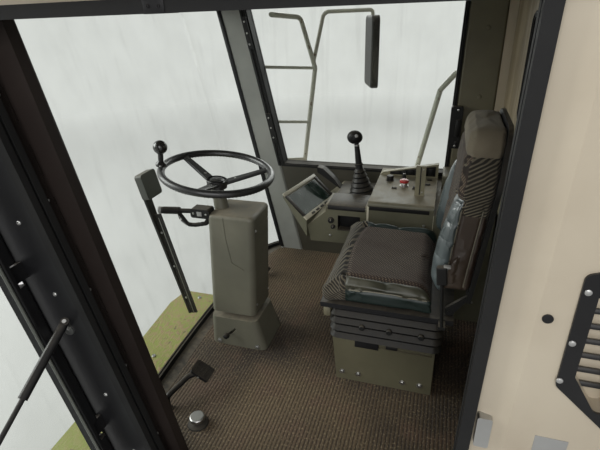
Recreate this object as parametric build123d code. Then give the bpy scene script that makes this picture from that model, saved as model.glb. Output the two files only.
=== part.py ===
from build123d import *
import os
from math import cos, sin, radians, sqrt

# Operator's cab of a combine harvester, in millimetres.
# X points forwards, Y to the driver's left and Z up. The origin is in the middle
# of the four rubber mounts, on the level that they stand on.

# Body shell
MAT_TOP = 200.0          # walking level inside the cab
MAT_THICK = 6.0
PLATE_THICK = 8.0        # floor plate
FRAME_BOTTOM = 70.0      # underside of the floor frame
FRAME_RING = 55.0        # width of the floor frame's outer member
FRAME_LIP = 8.0          # by which the floor frame stands out past the walls
CROSS_WIDTH = 90.0       # cross members under the floor
HALF_WIDTH = 765.0       # outer face of the side walls
WALL = 65.0              # thickness of side walls and pillars
REAR_X = -700.0          # outer face of the rear wall
REAR_WALL = 110.0
RAKE = 0.2               # forward lean of the windscreen and front pillars, per unit of height
REAR_LEAN = -0.02        # the rear pillars lean back a little
HEAD_Z = 1490.0          # top of the window and door openings
RAIL_HEIGHT = 70.0       # roof frame above the openings
SILL_HEIGHT = 30.0       # doorway sill above the mat
SILL_WINDOW = 500.0      # lower edge of the right window above the mat
PRESSED_IN = 45.0        # margin and depth of the panel pressed into the right wall
PRESSED_DEPTH = 6.0

FLOOR_Z = MAT_TOP - MAT_THICK
RAIL_TOP = HEAD_Z + RAIL_HEIGHT
INNER = HALF_WIDTH - WALL
RIGHT_SILL_Z = MAT_TOP + SILL_WINDOW
REACH = 4000.0           # past everything, for cutting

# Curve of the windscreen on the mat's level: wing, corner, shoulder and nose
WING_X = 515.0
CORNER_X, CORNER_IN = 585.0, 75.0
SHOULDER_X, SHOULDER_IN = 612.0, 245.0
NOSE_X = 632.0
GLASS = 6.0
PANE_IN = 12.0           # right window's pane in from the wall's outer face
GLASS_EDGE = 8.0         # pane's edge hidden in its rubber channel
SEAL_WIDTH = 18.0
SEAL_LIP = 5.0           # rubber lip outside and inside the pane
SEAL_INNER = 7.0

# Pillars, on the mat's level where they are raked
A_PILLAR_WIDTH = 137.0
A_ROUND = 16.0
TRIM_THICK = 38.0        # cover of the left front pillar
TRIM_FRONT_GAP = 12.0
TRIM_PAST_LOW = 47.0     # past the pillar's rear edge, at the mat and at the top
TRIM_PAST_HIGH = 90.0
TRIM_FLANGE, TRIM_FLANGE_THICK = 26.0, 5.0
TRIM_ROUND = 12.0
SLOT_FIRST_Z, SLOT_PITCH, SLOT_COUNT = 657.0, 128.0, 6
SLOT_LENGTH, SLOT_WIDTH, SLOT_DEPTH, SLOT_IN = 76.0, 4.0, 4.0, 9.0
B_FRONT_X = -440.0       # rear edge of the doorway
B_WIDTH = 129.0
B_BEVEL, B_BEVEL_DEPTH = 62.0, 15.0
C_FRONT_X = -363.0       # rear edge of the right window
C_WIDTH = 177.0
POST_ROUND = 10.0
DOOR_SEAL = 24.0
SEAL_START = 28.0        # from the cab's inner face, and how far it stands out
SEAL_PROUD = 5.0
SEAL_GROOVE = 8.0        # groove between the seal's two lips

# Rear wall with its window
LINING_SEAM_Z = 1040.0
LINING_THICK, LINING_LOW_THICK = 20.0, 14.0
LINING_GAP = 2.0
REAR_WINDOW_HALF, REAR_WINDOW_LOW, REAR_WINDOW_HIGH = 230.0, 1090.0, 1430.0
REAR_WINDOW_ROUND = 40.0
REAR_PANE_IN = 20.0      # pane's place in from the wall's outer face

# Windscreen wiper
WIPER_Y, WIPER_Z = 40.0, 850.0
WIPER_REACH = 620.0
WIPER_ROOT, WIPER_TIP, WIPER_THICK = 22.0, 7.0, 9.0
WIPER_LIFT = 46.0        # arm above the glass
MOTOR_WIDTH, MOTOR_HEIGHT, MOTOR_DEPTH = 96.0, 104.0, 34.0
MOTOR_BOSS, MOTOR_ROUND = 20.0, 12.0
SPINDLE_R = 8.0
BLADE_LENGTH, BLADE_WIDTH, BLADE_HEIGHT = 490.0, 7.0, 33.0

# Mounts
MOUNT_X, MOUNT_Y = 480.0, 560.0
MOUNT_RADIUS, MOUNT_WAIST = 48.0, 38.0
MOUNT_FOOT, MOUNT_FOOT_THICK = 120.0, 8.0
MOUNT_BOLT_R = 8.5       # for M16 bolts

# Ceiling and roof
CEILING_Z = 1700.0
TRAY_SKIN = 12.0
TRAY_SIDE, TRAY_FRONT, TRAY_REAR = 125.0, 130.0, 140.0   # in from wall, windscreen and rear wall
OUTLET_R, OUTLET_DEPTH, OUTLET_Y = 42.0, 8.0, 430.0
OUTLETS_X = (-350.0, 550.0)
ROOF_VISOR = 115.0       # past the windscreen's top
ROOF_TAIL = 80.0         # past the rear wall
ROOF_SIDE = 75.0         # past the side walls
ROOF_DROP = 35.0         # roof's lower edge above the top of the windows
ROOF_BAND = 130.0        # upright band under the sloping shoulders
ROOF_SKIN, ROOF_NOSE = 25.0, 60.0
ROOF_AIR, ROOF_CROWN = 78.0, 40.0    # above the ceiling tray, and the thickness of the top
ROOF_CORNER, ROOF_EDGE, ROOF_TAPER = 110.0, 30.0, 24.0
RIB_LENGTH, RIB_WIDTH, RIB_HEIGHT, RIB_PITCH, RIB_COUNT = 1150.0, 60.0, 9.0, 230.0, 5
GRILLE_WIDTH, GRILLE_HEIGHT, GRILLE_DEPTH = 520.0, 92.0, 18.0
SLAT_COUNT, SLAT_THICK = 6, 5.0

# Working lamps
LAMP_WIDTH, LAMP_HEIGHT, LAMP_DEPTH = 150.0, 88.0, 40.0
LAMP_PLAY = 3.0          # round each lamp in its pocket
LAMP_LIFT = 68.0         # lamp's middle above the roof's lower edge
LAMP_SIDES = (280.0, 510.0)   # in from the roof's side
LAMP_BEZEL, LAMP_LENS, LAMP_BOWL, LAMP_BOWL_DEPTH = 9.0, 8.0, 60.0, 14.0

# Door
DOOR_OPEN = 80.0         # degrees open, as it stands
DOOR_CLEAR = 12.0        # between the shut door's frame and the wall
DOOR_FRAME_THICK, DOOR_FRAME_WIDTH = 34.0, 42.0
DOOR_CORNER, DOOR_SOFT = 60.0, 9.0
DOOR_AXIS_BACK = 15.0    # hinge axis behind the windscreen's wing
DOOR_AXIS_IN = 21.0      # hinge axis from the frame's inner face
DOOR_FRONT_PAST = 12.0   # frame in front of the hinge axis
DOOR_LOW, DOOR_TOP = 12.0, 18.0      # above the mat, and past the top of the opening
DOOR_OVERLAP = 34.0      # past the rear edge of the doorway
GLASS_IN = 3.0           # pane's edge in from the frame's
HINGE_R = 8.0
HINGE_PIN_R = 5.0
HINGE_LENGTH = 44.0
HINGE_NOTCH = 60.0
HINGE_SPACE = 6.0        # round the knuckle in its notch
HINGE_HEIGHTS = (400.0, 900.0, 1340.0)
HINGE_PIN_DEPTH = 14.0
PIN_PLAY = 0.05

DOOR_AXIS_X = WING_X - DOOR_AXIS_BACK
DOOR_FRAME_IN = HALF_WIDTH + DOOR_CLEAR
DOOR_FRAME_OUT = DOOR_FRAME_IN + DOOR_FRAME_THICK
DOOR_AXIS_Y = DOOR_FRAME_IN + DOOR_AXIS_IN

# Handles and lock of the door, below the level of the eyes
HANDLE_LOW, HANDLE_HIGH, HANDLE_REACH = 860.0, 1120.0, 175.0
HANDLE_STAND, HANDLE_R, HANDLE_BEND = 48.0, 9.0, 20.0
GRIP_LOW, GRIP_HIGH, GRIP_IN, GRIP_STAND = 610.0, 760.0, 28.0, 42.0
GRIP_R, GRIP_BEND = 8.0, 16.0
LOCK_WIDTH, LOCK_THICK, LOCK_MARGIN = 34.0, 5.0, 25.0
STRIKER_Z, STRIKER_HEIGHT, STRIKER_WIDTH, STRIKER_THICK, STRIKER_IN = 640.0, 80.0, 28.0, 5.0, 6.0

# Door stay, a gas strut between the pillar and the glass
STAY_FOOT_Z, STAY_FOOT_BACK, STAY_FOOT_OUT = 777.0, 89.4, 25.0
STAY_DOOR_REACH = 292.0  # from the hinge axis
STAY_DOOR_Z = 600.0      # along the raked axis
STAY_TUBE_R = 11.0
STAY_ROD_R = 6.0
STAY_TUBE_LENGTH = 190.0
STAY_ROD_LENGTH = 177.0  # from the eye to the hidden end
STAY_BORE = 70.0         # closed length of the tube at its eye
STAY_EYE_R = 9.0
STAY_EYE_WIDTH = 8.0
STAY_STUD_R = 5.0
STAY_SIDE_GAP = 7.0      # from the rod's eye to its stud on the glass
STAY_WASHER, STAY_WASHER_THICK, STAY_FOOT_R = 14.0, 4.0, 16.0

# Steering
WHEEL_CENTRE = (450.0, 60.0, 930.0)
WHEEL_RADIUS = 200.0     # to the middle of the rim
RIM_R = 13.0
WHEEL_TILT = 8.0
HUB_DROP = 45.0
HUB_R = 38.0
HUB_HEIGHT = 28.0
HUB_DOME = 12.0
SHAFT_DEPTH = 18.0
SPOKES = (97.0, 217.0, 337.0)
SPOKE_ROOT, SPOKE_TIP, SPOKE_THICK = 36.0, 25.0, 12.0
KNOB_ANGLE = 24.0
KNOB_STEM, KNOB_BASE, KNOB_BALL, KNOB_HEIGHT = 9.5, 18.0, 25.0, 108.0
COLUMN_Y = 60.0
COLUMN_HALF = 85.0
COLUMN_X_LOW, COLUMN_X_HIGH = 410.5, 377.5
COLUMN_LENGTH_LOW, COLUMN_LENGTH_HIGH = 193.0, 185.0
COLUMN_ROUND, COLUMN_TOP_ROUND = 22.0, 14.0
COLUMN_LOW = 356.0       # underside of the shroud
COLUMN_TOP = 790.0
COLUMN_SEAM, SEAM_WIDTH, SEAM_DEPTH = (401.0, 388.0, 340.0), 3.5, 2.0
SEAM_HEIGHTS = (694.0, 596.0, 570.0)
COLUMN_PIVOT = (410.0, 345.0)
PIVOT_R = 10.0
PIVOT_PIN_R = 6.0
TONGUE_HALF, EAR_OFFSET, EAR_WIDTH = 38.0, 50.0, 12.0
BASE_TOP = 330.0
BASE_X, BASE_LENGTH, BASE_WIDTH = 396.0, 244.0, 200.0
NECK_LENGTH, NECK_WIDTH, BASE_ROUND = 203.0, 182.0, 26.0
TILT_SLOT, TILT_SLOT_LOW, TILT_SLOT_HIGH = (404.0, 450.0), 232.0, 290.0
TILT_SLOT_WIDTH, TILT_SLOT_DEPTH = 14.0, 14.0
SHAFT_R = 12.0
COLLAR_R = 22.0
COLLAR_X = 446.0

# Stalk on the front of the column
STALK_BOX_LENGTH, STALK_BOX_WIDTH, STALK_BOX_HEIGHT = 78.0, 44.0, 36.0
STALK_X, STALK_Y, STALK_Z = 462.0, 96.0, 770.0
STALK_LENGTH, STALK_R, STALK_TIP_R = 128.0, 9.0, 13.0
STALK_GRIP = 0.62        # share of the stalk that is its thicker grip
STALK_SPREAD, STALK_RISE = 32.0, 5.0
LEAD_R, LEAD_BEND, LEAD_FRONT, LEAD_DROP = 7.0, 16.0, 58.0, 44.0

# Seat
SEAT_Y = 60.0
SEAT_HALF = 250.0
SEAT_FRONT, SEAT_REAR = 9.0, -400.0
CUSHION_LOW, CUSHION_TOP = 590.0, 675.0
CUSHION_REAR, CUSHION_FALL, CUSHION_NOSE = -372.0, 20.0, 26.0
SUSPENSION_LOW, SUSPENSION_TOP = 447.0, 572.0
BELLOWS_FRONT, BELLOWS_REAR, BELLOWS_HALF = -26.0, -397.0, 230.0
PLEATS, PLEAT_DEPTH, PLEAT_ROUND = 4, 12.0, 30.0
RECLINE_PIVOT = (-405.0, 612.0)
RECLINE_R = 14.0
RECLINE_PIN_R = 6.0
BACK_LOW, BACK_TOP = 676.0, 1172.0
BACK_FRONT = -360.0
BACK_LEAN = 0.105
BACK_DEPTH = 88.0
BACK_HALF, HEAD_HALF, SHOULDER_Z, BACK_CORNER = 235.0, 150.0, 1010.0, 60.0
SHELL_THICK, SHELL_IN = 12.0, 10.0
PAN_HALF, PAN_PAST, PAN_IN = 235.0, 20.0, 10.0
SEAT_BASE_HALF = 162.0
SEAT_BASE_FRONT, SEAT_BASE_REAR, SEAT_BASE_TAPER = -20.0, -380.0, 18.0
BASE_GROOVE = (-113.0, -372.0)
BASE_GROOVE_Z, BASE_GROOVE_HEIGHT, BASE_GROOVE_DEPTH = 372.0, 14.0, 8.0
EAR_Y = 214.0            # middle of each recline ear, from the seat's centre line
EAR_THICK = 12.0
EAR_GAP = 1.0
LUG_R, LUG_THICK = 10.0, 10.0

# Seat belt's buckle
BUCKLE_X, BUCKLE_SIDE, BUCKLE_Z = -370.0, 14.0, 765.0
BUCKLE_LENGTH, BUCKLE_WIDTH, BUCKLE_THICK, BUCKLE_LEAN = 60.0, 30.0, 20.0, 16.0
BUCKLE_STEM_R, BUCKLE_FOOT, BUCKLE_ANGLE = 5.0, 20.0, 6.0

# Console on the driver's right
CONSOLE_Y = -250.0
CONSOLE_WALL_GAP = 60.0
CONSOLE_TOP = 664.0
CONSOLE_LOW = 520.0
CABINET_TOP = 725.0
CABINET_FRONT, CABINET_REAR = -63.0, -330.0
CABINET_ROUND = 16.0
TAIL_REAR, TAIL_TOP = -560.0, 690.0
TAIL_BOX_FRONT, TAIL_BOX_WIDTH, TAIL_BOX_HEIGHT = -350.0, 150.0, 62.0
WEDGE_LOW, WEDGE_NECK, WEDGE_TIP = (190.0, 516.0), (205.0, 590.0), (324.0, 698.0)
POCKET = (-32.0, 66.0)
POCKET_LOW, POCKET_HIGH, POCKET_DEPTH, POCKET_ROUND = 580.0, 652.0, 42.0, 8.0
DIAL_PLACES = ((96.0, 626.0, 11.0), (87.0, 596.0, 7.0))     # x, z and radius
DIAL_LENGTH = 12.0
PALM_FRONT, PALM_FAR, PALM_HEIGHT, PALM_ROUND = 120.0, 150.0, 34.0, 14.0

# Terminal, turned and tipped towards the driver
SCREEN_NEAR, SCREEN_FAR = (210.0, -252.0, 619.0), (148.0, -525.0, 619.0)
SCREEN_RISE = (112.0, -38.0, 90.0)
SCREEN_THICK, BEZEL = 22.0, 16.0
HOOD_Y, HOOD_WIDTH = -532.0, 46.0
HOOD_OUTLINE = ((231.0, 742.0), (231.0, 764.0), (205.0, 758.0), (154.0, 712.0), (118.0, 664.0), (60.0, 664.0))

# Drive lever
LEVER_X, LEVER_FAR = 0.0, 220.0
LEVER_PLATE, LEVER_PLATE_THICK = 112.0, 6.0
BOOT_R, BOOT_TOP_R, BOOT_FOLDS, BOOT_PITCH, BOOT_DEPTH = 60.0, 26.0, 6, 21.0, 9.0
LEVER_SHAFT_R, LEVER_NECK_R, LEVER_HEIGHT = 15.0, 10.0, 262.0
LEVER_GRIP_R, LEVER_LEAN = 27.0, 7.0

# Switches on the cabinet
PANEL_SIDE, PANEL_THICK, PANEL_BEVEL = 100.0, 26.0, 16.0
PANEL_FRONT_HEIGHT, PANEL_REAR_HEIGHT = 15.0, 66.0
BUTTONS = ((-119.0, -531.0, 15.0, 22.0), (-180.0, -557.0, 8.0, 26.0), (-189.0, -467.0, 13.0, 30.0),
           (-236.0, -440.0, 7.0, 12.0))      # x, y, radius and height
UPRIGHT_X, UPRIGHT_Y, UPRIGHT_WIDTH, UPRIGHT_THICK, UPRIGHT_HEIGHT = -262.0, -370.0, 40.0, 12.0, 132.0

# Right wall: latch and hinges of the window, rail and mirror outside
LATCH_Z, LATCH_HEIGHT, LATCH_WIDTH, LATCH_DEPTH = 850.0, 190.0, 52.0, 32.0
WINDOW_HINGES = (836.0, 1290.0)
WINDOW_HINGE_LENGTH, WINDOW_HINGE_WIDTH, WINDOW_HINGE_DEPTH = 145.0, 26.0, 14.0
RAIL_OUT = 95.0
RAIL_BAR_R, RAIL_BEND = 13.0, 45.0
RAIL_POINTS = ((-190.0, 470.0), (-196.0, 500.0), (-216.0, 669.0), (-300.0, 1080.0), (-368.0, 1163.0),
               (-430.0, 1190.0))      # x and z, first and last on the wall
MIRROR_OUT, MIRROR_ARM_OUT = 115.0, 345.0
MAST_R, MAST_BEND, MAST_STAY_R, ARM_R, ARM_BEND = 12.0, 30.0, 8.0, 10.0, 40.0
MAST_POINTS = ((520.0, 1440.0), (400.0, 1420.0), (330.0, 1180.0), (420.0, 560.0), (470.0, 500.0))
MAST_STAYS = ((336.0, 1180.0), (372.0, 900.0), (402.0, 690.0))
MAST_STAY_RISE = 20.0
MAST_FOOT_R, MAST_FOOT_THICK = 22.0, 6.0
ARM_ROOT, ARM_ELBOW, ARM_END = (340.0, 1200.0), (300.0, 1440.0), 77.0
ARM_HALF_OUT = 195.0
HEAD_WIDTH, HEAD_HEIGHT, HEAD_DEPTH, HEAD_TURN, HEAD_ROUND = 200.0, 360.0, 40.0, 20.0, 30.0
HEAD_TOP = 1415.0
MIRROR_RIM, MIRROR_RECESS = 9.0, 5.0

# Pedals and foot switch
BRAKE = (430.0, 390.0, 268.0)
RIGHT_PEDAL = (500.0, -385.0, 245.0)
PEDAL_LENGTH, PEDAL_WIDTH, PEDAL_THICK = 74.0, 62.0, 13.0
PEDAL_ROUND, PEDAL_RIB, PEDAL_RIBS = 8.0, 2.5, 4
BRAKE_LEAN, RIGHT_LEAN = 30.0, 35.0
BRAKE_ROOT = (505.0, 520.0)
ARM_SWEEP, PEDAL_ARM_R = 75.0, 10.0
SWITCH = (369.0, 553.0)
SWITCH_R, SWITCH_STEM_R, SWITCH_HEIGHT, SWITCH_CAP = 26.0, 10.0, 22.0, 12.0

# Ledge in front of the cab
LEDGE_EDGE = ((838.0, 760.0), (846.0, 547.0), (885.0, 118.0), (905.0, -119.0), (880.0, -232.0))
LEDGE_REAR_X, LEDGE_INNER_X = 430.0, 560.0
LEDGE_TOP, LEDGE_THICK, LEDGE_LIP, LEDGE_EDGE_THICK = 140.0, 8.0, 36.0, 6.0
LEDGE_WEBS = (-200.0, 250.0, 700.0)
LEDGE_WEB_END = 832.0

# Service opening in the left quarter panel, with its black plate
VENT_FRONT_IN, VENT_REAR_IN = 2.0, 10.0      # from the pillar and from the rear corner
VENT_LOW_FRONT, VENT_LOW_REAR = 836.0, 726.0
VENT_TOP_FRONT, VENT_TOP_REAR = 1069.0, 1110.0
VENT_THICK, VENT_RIM, VENT_ROUND, VENT_DEPTH = 5.0, 26.0, 14.0, 34.0

NUDGE = 0.3              # gap between soft or curved pieces and what carries them

parts = {}




def raked(x, z):
    """X at height z of a raked line that crosses the mat's level at x."""
    return x + RAKE * (z - MAT_TOP)


def leaned(x, z):
    """X at height z of a rear pillar's line that crosses the floor at x."""
    return x + REAR_LEAN * (z - FLOOR_Z)


def block(x0, x1, y0, y1, z0, z1):
    """Box between two corners."""
    middle = Pos((x0 + x1) / 2, (y0 + y1) / 2, (z0 + z1) / 2)
    return middle * Box(abs(x1 - x0), abs(y1 - y0), abs(z1 - z0))


def side_plate(outline, y0, y1, corner=0.0):
    """Outline of (x, z) points, as thick as from y0 to y1, with rounded corners."""
    low, high = min(y0, y1), max(y0, y1)
    plane = Plane(origin=(0, high, 0), x_dir=(1, 0, 0), z_dir=(0, -1, 0))
    face = make_face(Polyline(*outline, close=True))
    if corner:
        face = fillet(face.vertices(), corner)
    return extrude(plane * face, amount=high - low)


def flat_plate(outline, z0, z1):
    """Outline of (x, y) points, as thick as from z0 to z1."""
    return extrude(Pos(0, 0, z0) * make_face(Polyline(*outline, close=True)), amount=z1 - z0)


def upright(radius, height):
    """Cylinder that stands on its plane."""
    return Cylinder(radius, height, align=(Align.CENTER, Align.CENTER, Align.MIN))


def rod(start, end, radius):
    """Round bar between two points."""
    line = Line(start, end)
    return sweep(Plane(origin=start, z_dir=line % 0) * Circle(radius), path=line)


def tube(points, radius, bend):
    """Bent round bar through the points."""
    path = FilletPolyline(*points, radius=bend)
    return sweep(Plane(origin=path @ 0, z_dir=path % 0) * Circle(radius), path=path)


def soften(shape, y, radius):
    """Rounds the long edges of a wall piece that lie on the plane y."""
    edges = shape.edges().filter_by_position(Axis.Y, y - 1, y + 1).sort_by(SortBy.LENGTH)[-2:]
    return fillet(edges, radius)


def plan_face(level, grow=0.0):
    """Outline of the cab at a level, raked at the front and square at the rear."""
    rear = REAR_X - RAKE * (level - MAT_TOP)
    corner_y, shoulder_y = HALF_WIDTH - CORNER_IN, HALF_WIDTH - SHOULDER_IN
    front = Line((rear, HALF_WIDTH), (WING_X, HALF_WIDTH))
    front += ThreePointArc((WING_X, HALF_WIDTH), (CORNER_X, corner_y), (SHOULDER_X, shoulder_y))
    front += ThreePointArc((SHOULDER_X, shoulder_y), (NOSE_X, 0), (SHOULDER_X, -shoulder_y))
    front += ThreePointArc((SHOULDER_X, -shoulder_y), (CORNER_X, -corner_y), (WING_X, -HALF_WIDTH))
    front += Polyline((WING_X, -HALF_WIDTH), (rear, -HALF_WIDTH), (rear, HALF_WIDTH))
    face = make_face(front)
    if grow:
        face = offset(face, amount=grow, kind=Kind.INTERSECTION)
    return Pos(RAKE * (level - MAT_TOP), 0, level) * face


def lean_up(face, low, high):
    """Face at the low level, drawn up along the rake to the high level."""
    rise = high - low
    return extrude(face, amount=rise * sqrt(1 + RAKE**2), dir=(RAKE, 0, 1))


def raked_strip(rear, front, low, high):
    """Outline between two raked lines and two levels, as (x, z) points."""
    return [(raked(rear, low), low), (raked(front, low), low),
            (raked(front, high), high), (raked(rear, high), high)]


def ahead_of(x, low, high):
    """Everything in front of a raked line, between two levels."""
    return side_plate(raked_strip(x, REACH, low, high), -REACH, REACH)


def floor_frame():
    """Ring of beams with cross members under a floor plate."""
    outer = plan_face(MAT_TOP, FRAME_LIP)
    under = FLOOR_Z - PLATE_THICK
    plate = extrude(Pos(0, 0, under - MAT_TOP) * outer, amount=PLATE_THICK)
    ring_face = outer - offset(outer, amount=-FRAME_RING, kind=Kind.INTERSECTION)
    frame = plate + extrude(Pos(0, 0, FRAME_BOTTOM - MAT_TOP) * ring_face, amount=under - FRAME_BOTTOM)
    side = HALF_WIDTH - FRAME_RING / 2
    for x in (-MOUNT_X, -MOUNT_X / 3, MOUNT_X / 3, MOUNT_X):
        frame += block(x - CROSS_WIDTH / 2, x + CROSS_WIDTH / 2, -side, side, FRAME_BOTTOM, under)
    for x in (-MOUNT_X, MOUNT_X):
        for y in (-MOUNT_Y, MOUNT_Y):
            frame -= Pos(x, y, (FRAME_BOTTOM + FLOOR_Z) / 2) * Cylinder(MOUNT_BOLT_R, FLOOR_Z)
    return frame


def mount_pads():
    """Waisted rubber mounts on steel foot plates, one under each corner."""
    waist = (MOUNT_FOOT_THICK + FRAME_BOTTOM) / 2
    side = Polyline((MOUNT_RADIUS, FRAME_BOTTOM), (0, FRAME_BOTTOM), (0, MOUNT_FOOT_THICK),
                    (MOUNT_RADIUS, MOUNT_FOOT_THICK))
    side += ThreePointArc((MOUNT_RADIUS, MOUNT_FOOT_THICK), (MOUNT_WAIST, waist),
                          (MOUNT_RADIUS, FRAME_BOTTOM))
    rubber = revolve(Plane.XZ * make_face(side), axis=Axis.Z)
    foot = extrude(RectangleRounded(MOUNT_FOOT, MOUNT_FOOT, MOUNT_WAIST / 2), amount=MOUNT_FOOT_THICK)
    mount = rubber + foot - Cylinder(MOUNT_BOLT_R, 2 * FRAME_BOTTOM)
    return Part() + [Pos(x, y, 0) * mount for x in (-MOUNT_X, MOUNT_X) for y in (-MOUNT_Y, MOUNT_Y)]


def windscreen():
    """Curved windscreen and the rubber channel round it."""
    low, high = FLOOR_Z, HEAD_Z
    pane_low = low + GLASS_EDGE
    pane = lean_up(plan_face(pane_low) - plan_face(pane_low, -GLASS), pane_low, high - GLASS_EDGE)
    pane = pane & ahead_of(WING_X + GLASS, 0, REACH)
    band = lean_up(plan_face(low, SEAL_LIP) - plan_face(low, -GLASS - SEAL_INNER), low, high)
    window = ahead_of(WING_X + SEAL_WIDTH, low + SEAL_WIDTH, high - SEAL_WIDTH)
    return pane, (band & ahead_of(WING_X, 0, REACH)) - window - pane


def a_pillar(side):
    """Raked front pillar. The right one, which shows inside, has rounded inner edges."""
    outline = raked_strip(WING_X - A_PILLAR_WIDTH, WING_X, FLOOR_Z, HEAD_Z)
    pillar = side_plate(outline, side * INNER, side * HALF_WIDTH)
    return soften(pillar, -INNER, A_ROUND) if side < 0 else pillar


def a_post_trim():
    """Slotted inner cover of the left front pillar, with a flange round its rear edge."""
    pillar_rear = WING_X - A_PILLAR_WIDTH
    front = WING_X - TRIM_FRONT_GAP
    low = MAT_TOP + 1
    outline = [(raked(pillar_rear, low) - TRIM_PAST_LOW, low), (raked(front, low), low),
               (raked(front, HEAD_Z), HEAD_Z), (raked(pillar_rear, HEAD_Z) - TRIM_PAST_HIGH, HEAD_Z)]
    cover = soften(side_plate(outline, INNER, INNER - TRIM_THICK), INNER - TRIM_THICK, TRIM_ROUND)
    sill_top = MAT_TOP + SILL_HEIGHT
    cover += side_plate(raked_strip(pillar_rear - TRIM_FLANGE_THICK, pillar_rear, sill_top, HEAD_Z),
                        INNER, INNER + TRIM_FLANGE)
    for index in range(SLOT_COUNT):
        middle = SLOT_FIRST_Z + SLOT_PITCH * index
        slot = raked_strip(pillar_rear - SLOT_IN - SLOT_WIDTH, pillar_rear - SLOT_IN,
                           middle - SLOT_LENGTH / 2, middle + SLOT_LENGTH / 2)
        cover -= side_plate(slot, INNER - SLOT_DEPTH, INNER + 1)
    return cover


def rear_pillar(side, front, width, bevel):
    """Upright behind the doorway or the right window, leaning back a little, with a bevelled front strip."""
    outline = [(front, FLOOR_Z), (leaned(front, HEAD_Z), HEAD_Z),
               (front - width, HEAD_Z), (front - width, FLOOR_Z)]
    pillar = side_plate(outline, side * INNER, side * HALF_WIDTH)
    if bevel:
        strip = [(front - B_BEVEL, HALF_WIDTH), (front, HALF_WIDTH - B_BEVEL_DEPTH),
                 (front + WALL, HALF_WIDTH - B_BEVEL_DEPTH), (front + WALL, HALF_WIDTH + WALL),
                 (front - B_BEVEL, HALF_WIDTH + WALL)]
        rise = HEAD_Z - FLOOR_Z
        wedge = extrude(Pos(0, 0, FLOOR_Z) * make_face(Polyline(*strip, close=True)),
                        amount=rise * sqrt(1 + REAR_LEAN**2), dir=(REAR_LEAN, 0, 1))
        pillar -= wedge
    return soften(pillar, side * INNER, POST_ROUND)


def quarter_panel(side, front):
    """Outer corner panel between a rear pillar and the rear wall."""
    return block(REAR_X, front, side * INNER, side * HALF_WIDTH, FLOOR_Z, HEAD_Z)


def vent_outline(inset=0.0):
    """Outline of the black plate on the left quarter panel, as (x, z) points."""
    front = B_FRONT_X - B_WIDTH - VENT_FRONT_IN - inset
    rear = REAR_X + VENT_REAR_IN + inset
    return [(front, VENT_LOW_FRONT + inset), (front, VENT_TOP_FRONT - inset),
            (rear, VENT_TOP_REAR - inset), (rear, VENT_LOW_REAR + inset)]


def vent_plate():
    """Black plate round the service opening in the left quarter panel."""
    plate = side_plate(vent_outline(), HALF_WIDTH, HALF_WIDTH + VENT_THICK, VENT_ROUND)
    return plate - side_plate(vent_outline(VENT_RIM), HALF_WIDTH - 1, HALF_WIDTH + VENT_THICK + 1, VENT_ROUND)


def service_opening():
    """Shallow bay behind the black plate."""
    return side_plate(vent_outline(VENT_RIM), HALF_WIDTH - VENT_DEPTH, HALF_WIDTH + 1, VENT_ROUND)


def opening_outline(rear, front, low, high):
    """Outline between a rear pillar's line and a raked line, as (x, z) points."""
    return [(leaned(rear, low), low), (raked(front, low), low),
            (raked(front, high), high), (leaned(rear, high), high)]


def doorway(inset=0.0):
    """Outline of the doorway, as (x, z) points."""
    low, high = MAT_TOP + SILL_HEIGHT + inset, HEAD_Z - inset
    front, rear = WING_X - A_PILLAR_WIDTH - inset, B_FRONT_X + inset
    return opening_outline(rear, front, low, high)


def right_window_outline(inset=0.0):
    """Outline of the right window, as (x, z) points."""
    low, high = RIGHT_SILL_Z + inset, HEAD_Z - inset
    front, rear = WING_X - A_PILLAR_WIDTH - inset, C_FRONT_X + inset
    return opening_outline(rear, front, low, high)


def sill():
    """Step-over sill under the doorway."""
    top = MAT_TOP + SILL_HEIGHT
    front = WING_X - A_PILLAR_WIDTH
    outline = [(B_FRONT_X, FLOOR_Z), (raked(front, FLOOR_Z), FLOOR_Z), (raked(front, top), top),
               (leaned(B_FRONT_X, top), top)]
    return side_plate(outline, INNER, HALF_WIDTH)


def right_panel():
    """Lower wall under the right window, with a pressed panel outside."""
    front, low, high = WING_X - A_PILLAR_WIDTH, FLOOR_Z, RIGHT_SILL_Z
    panel = side_plate([(C_FRONT_X, low), (raked(front, low), low), (raked(front, high), high),
                        (leaned(C_FRONT_X, high), high)], -INNER, -HALF_WIDTH)
    edge = PRESSED_IN
    pressed = [(C_FRONT_X + edge, low + edge), (raked(front, low + edge) - edge, low + edge),
               (raked(front, high - edge) - edge, high - edge), (leaned(C_FRONT_X, high) + edge, high - edge)]
    return panel - side_plate(pressed, -HALF_WIDTH - 1, -HALF_WIDTH + PRESSED_DEPTH, edge / 2)


def roof_frame():
    """Ring beam on top of the pillars."""
    return extrude(plan_face(HEAD_Z) - plan_face(HEAD_Z, -WALL), amount=RAIL_HEIGHT)


def roof_ends():
    """Front and rear of the roof."""
    return raked(NOSE_X, HEAD_Z) + ROOF_VISOR, REAR_X - ROOF_TAIL


def roof_levels():
    """Lower edge and top of the roof."""
    return HEAD_Z + ROOF_DROP, CEILING_Z + TRAY_SKIN + ROOF_AIR + ROOF_CROWN


def roof_inside():
    """Plan of the space inside the roof's skin."""
    front, rear = roof_ends()
    front, rear = front - ROOF_NOSE, rear + ROOF_SKIN
    width = 2 * (HALF_WIDTH + ROOF_SIDE - ROOF_SKIN)
    return Pos((front + rear) / 2, 0, 0) * RectangleRounded(front - rear, width, ROOF_CORNER - ROOF_SKIN)


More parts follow.
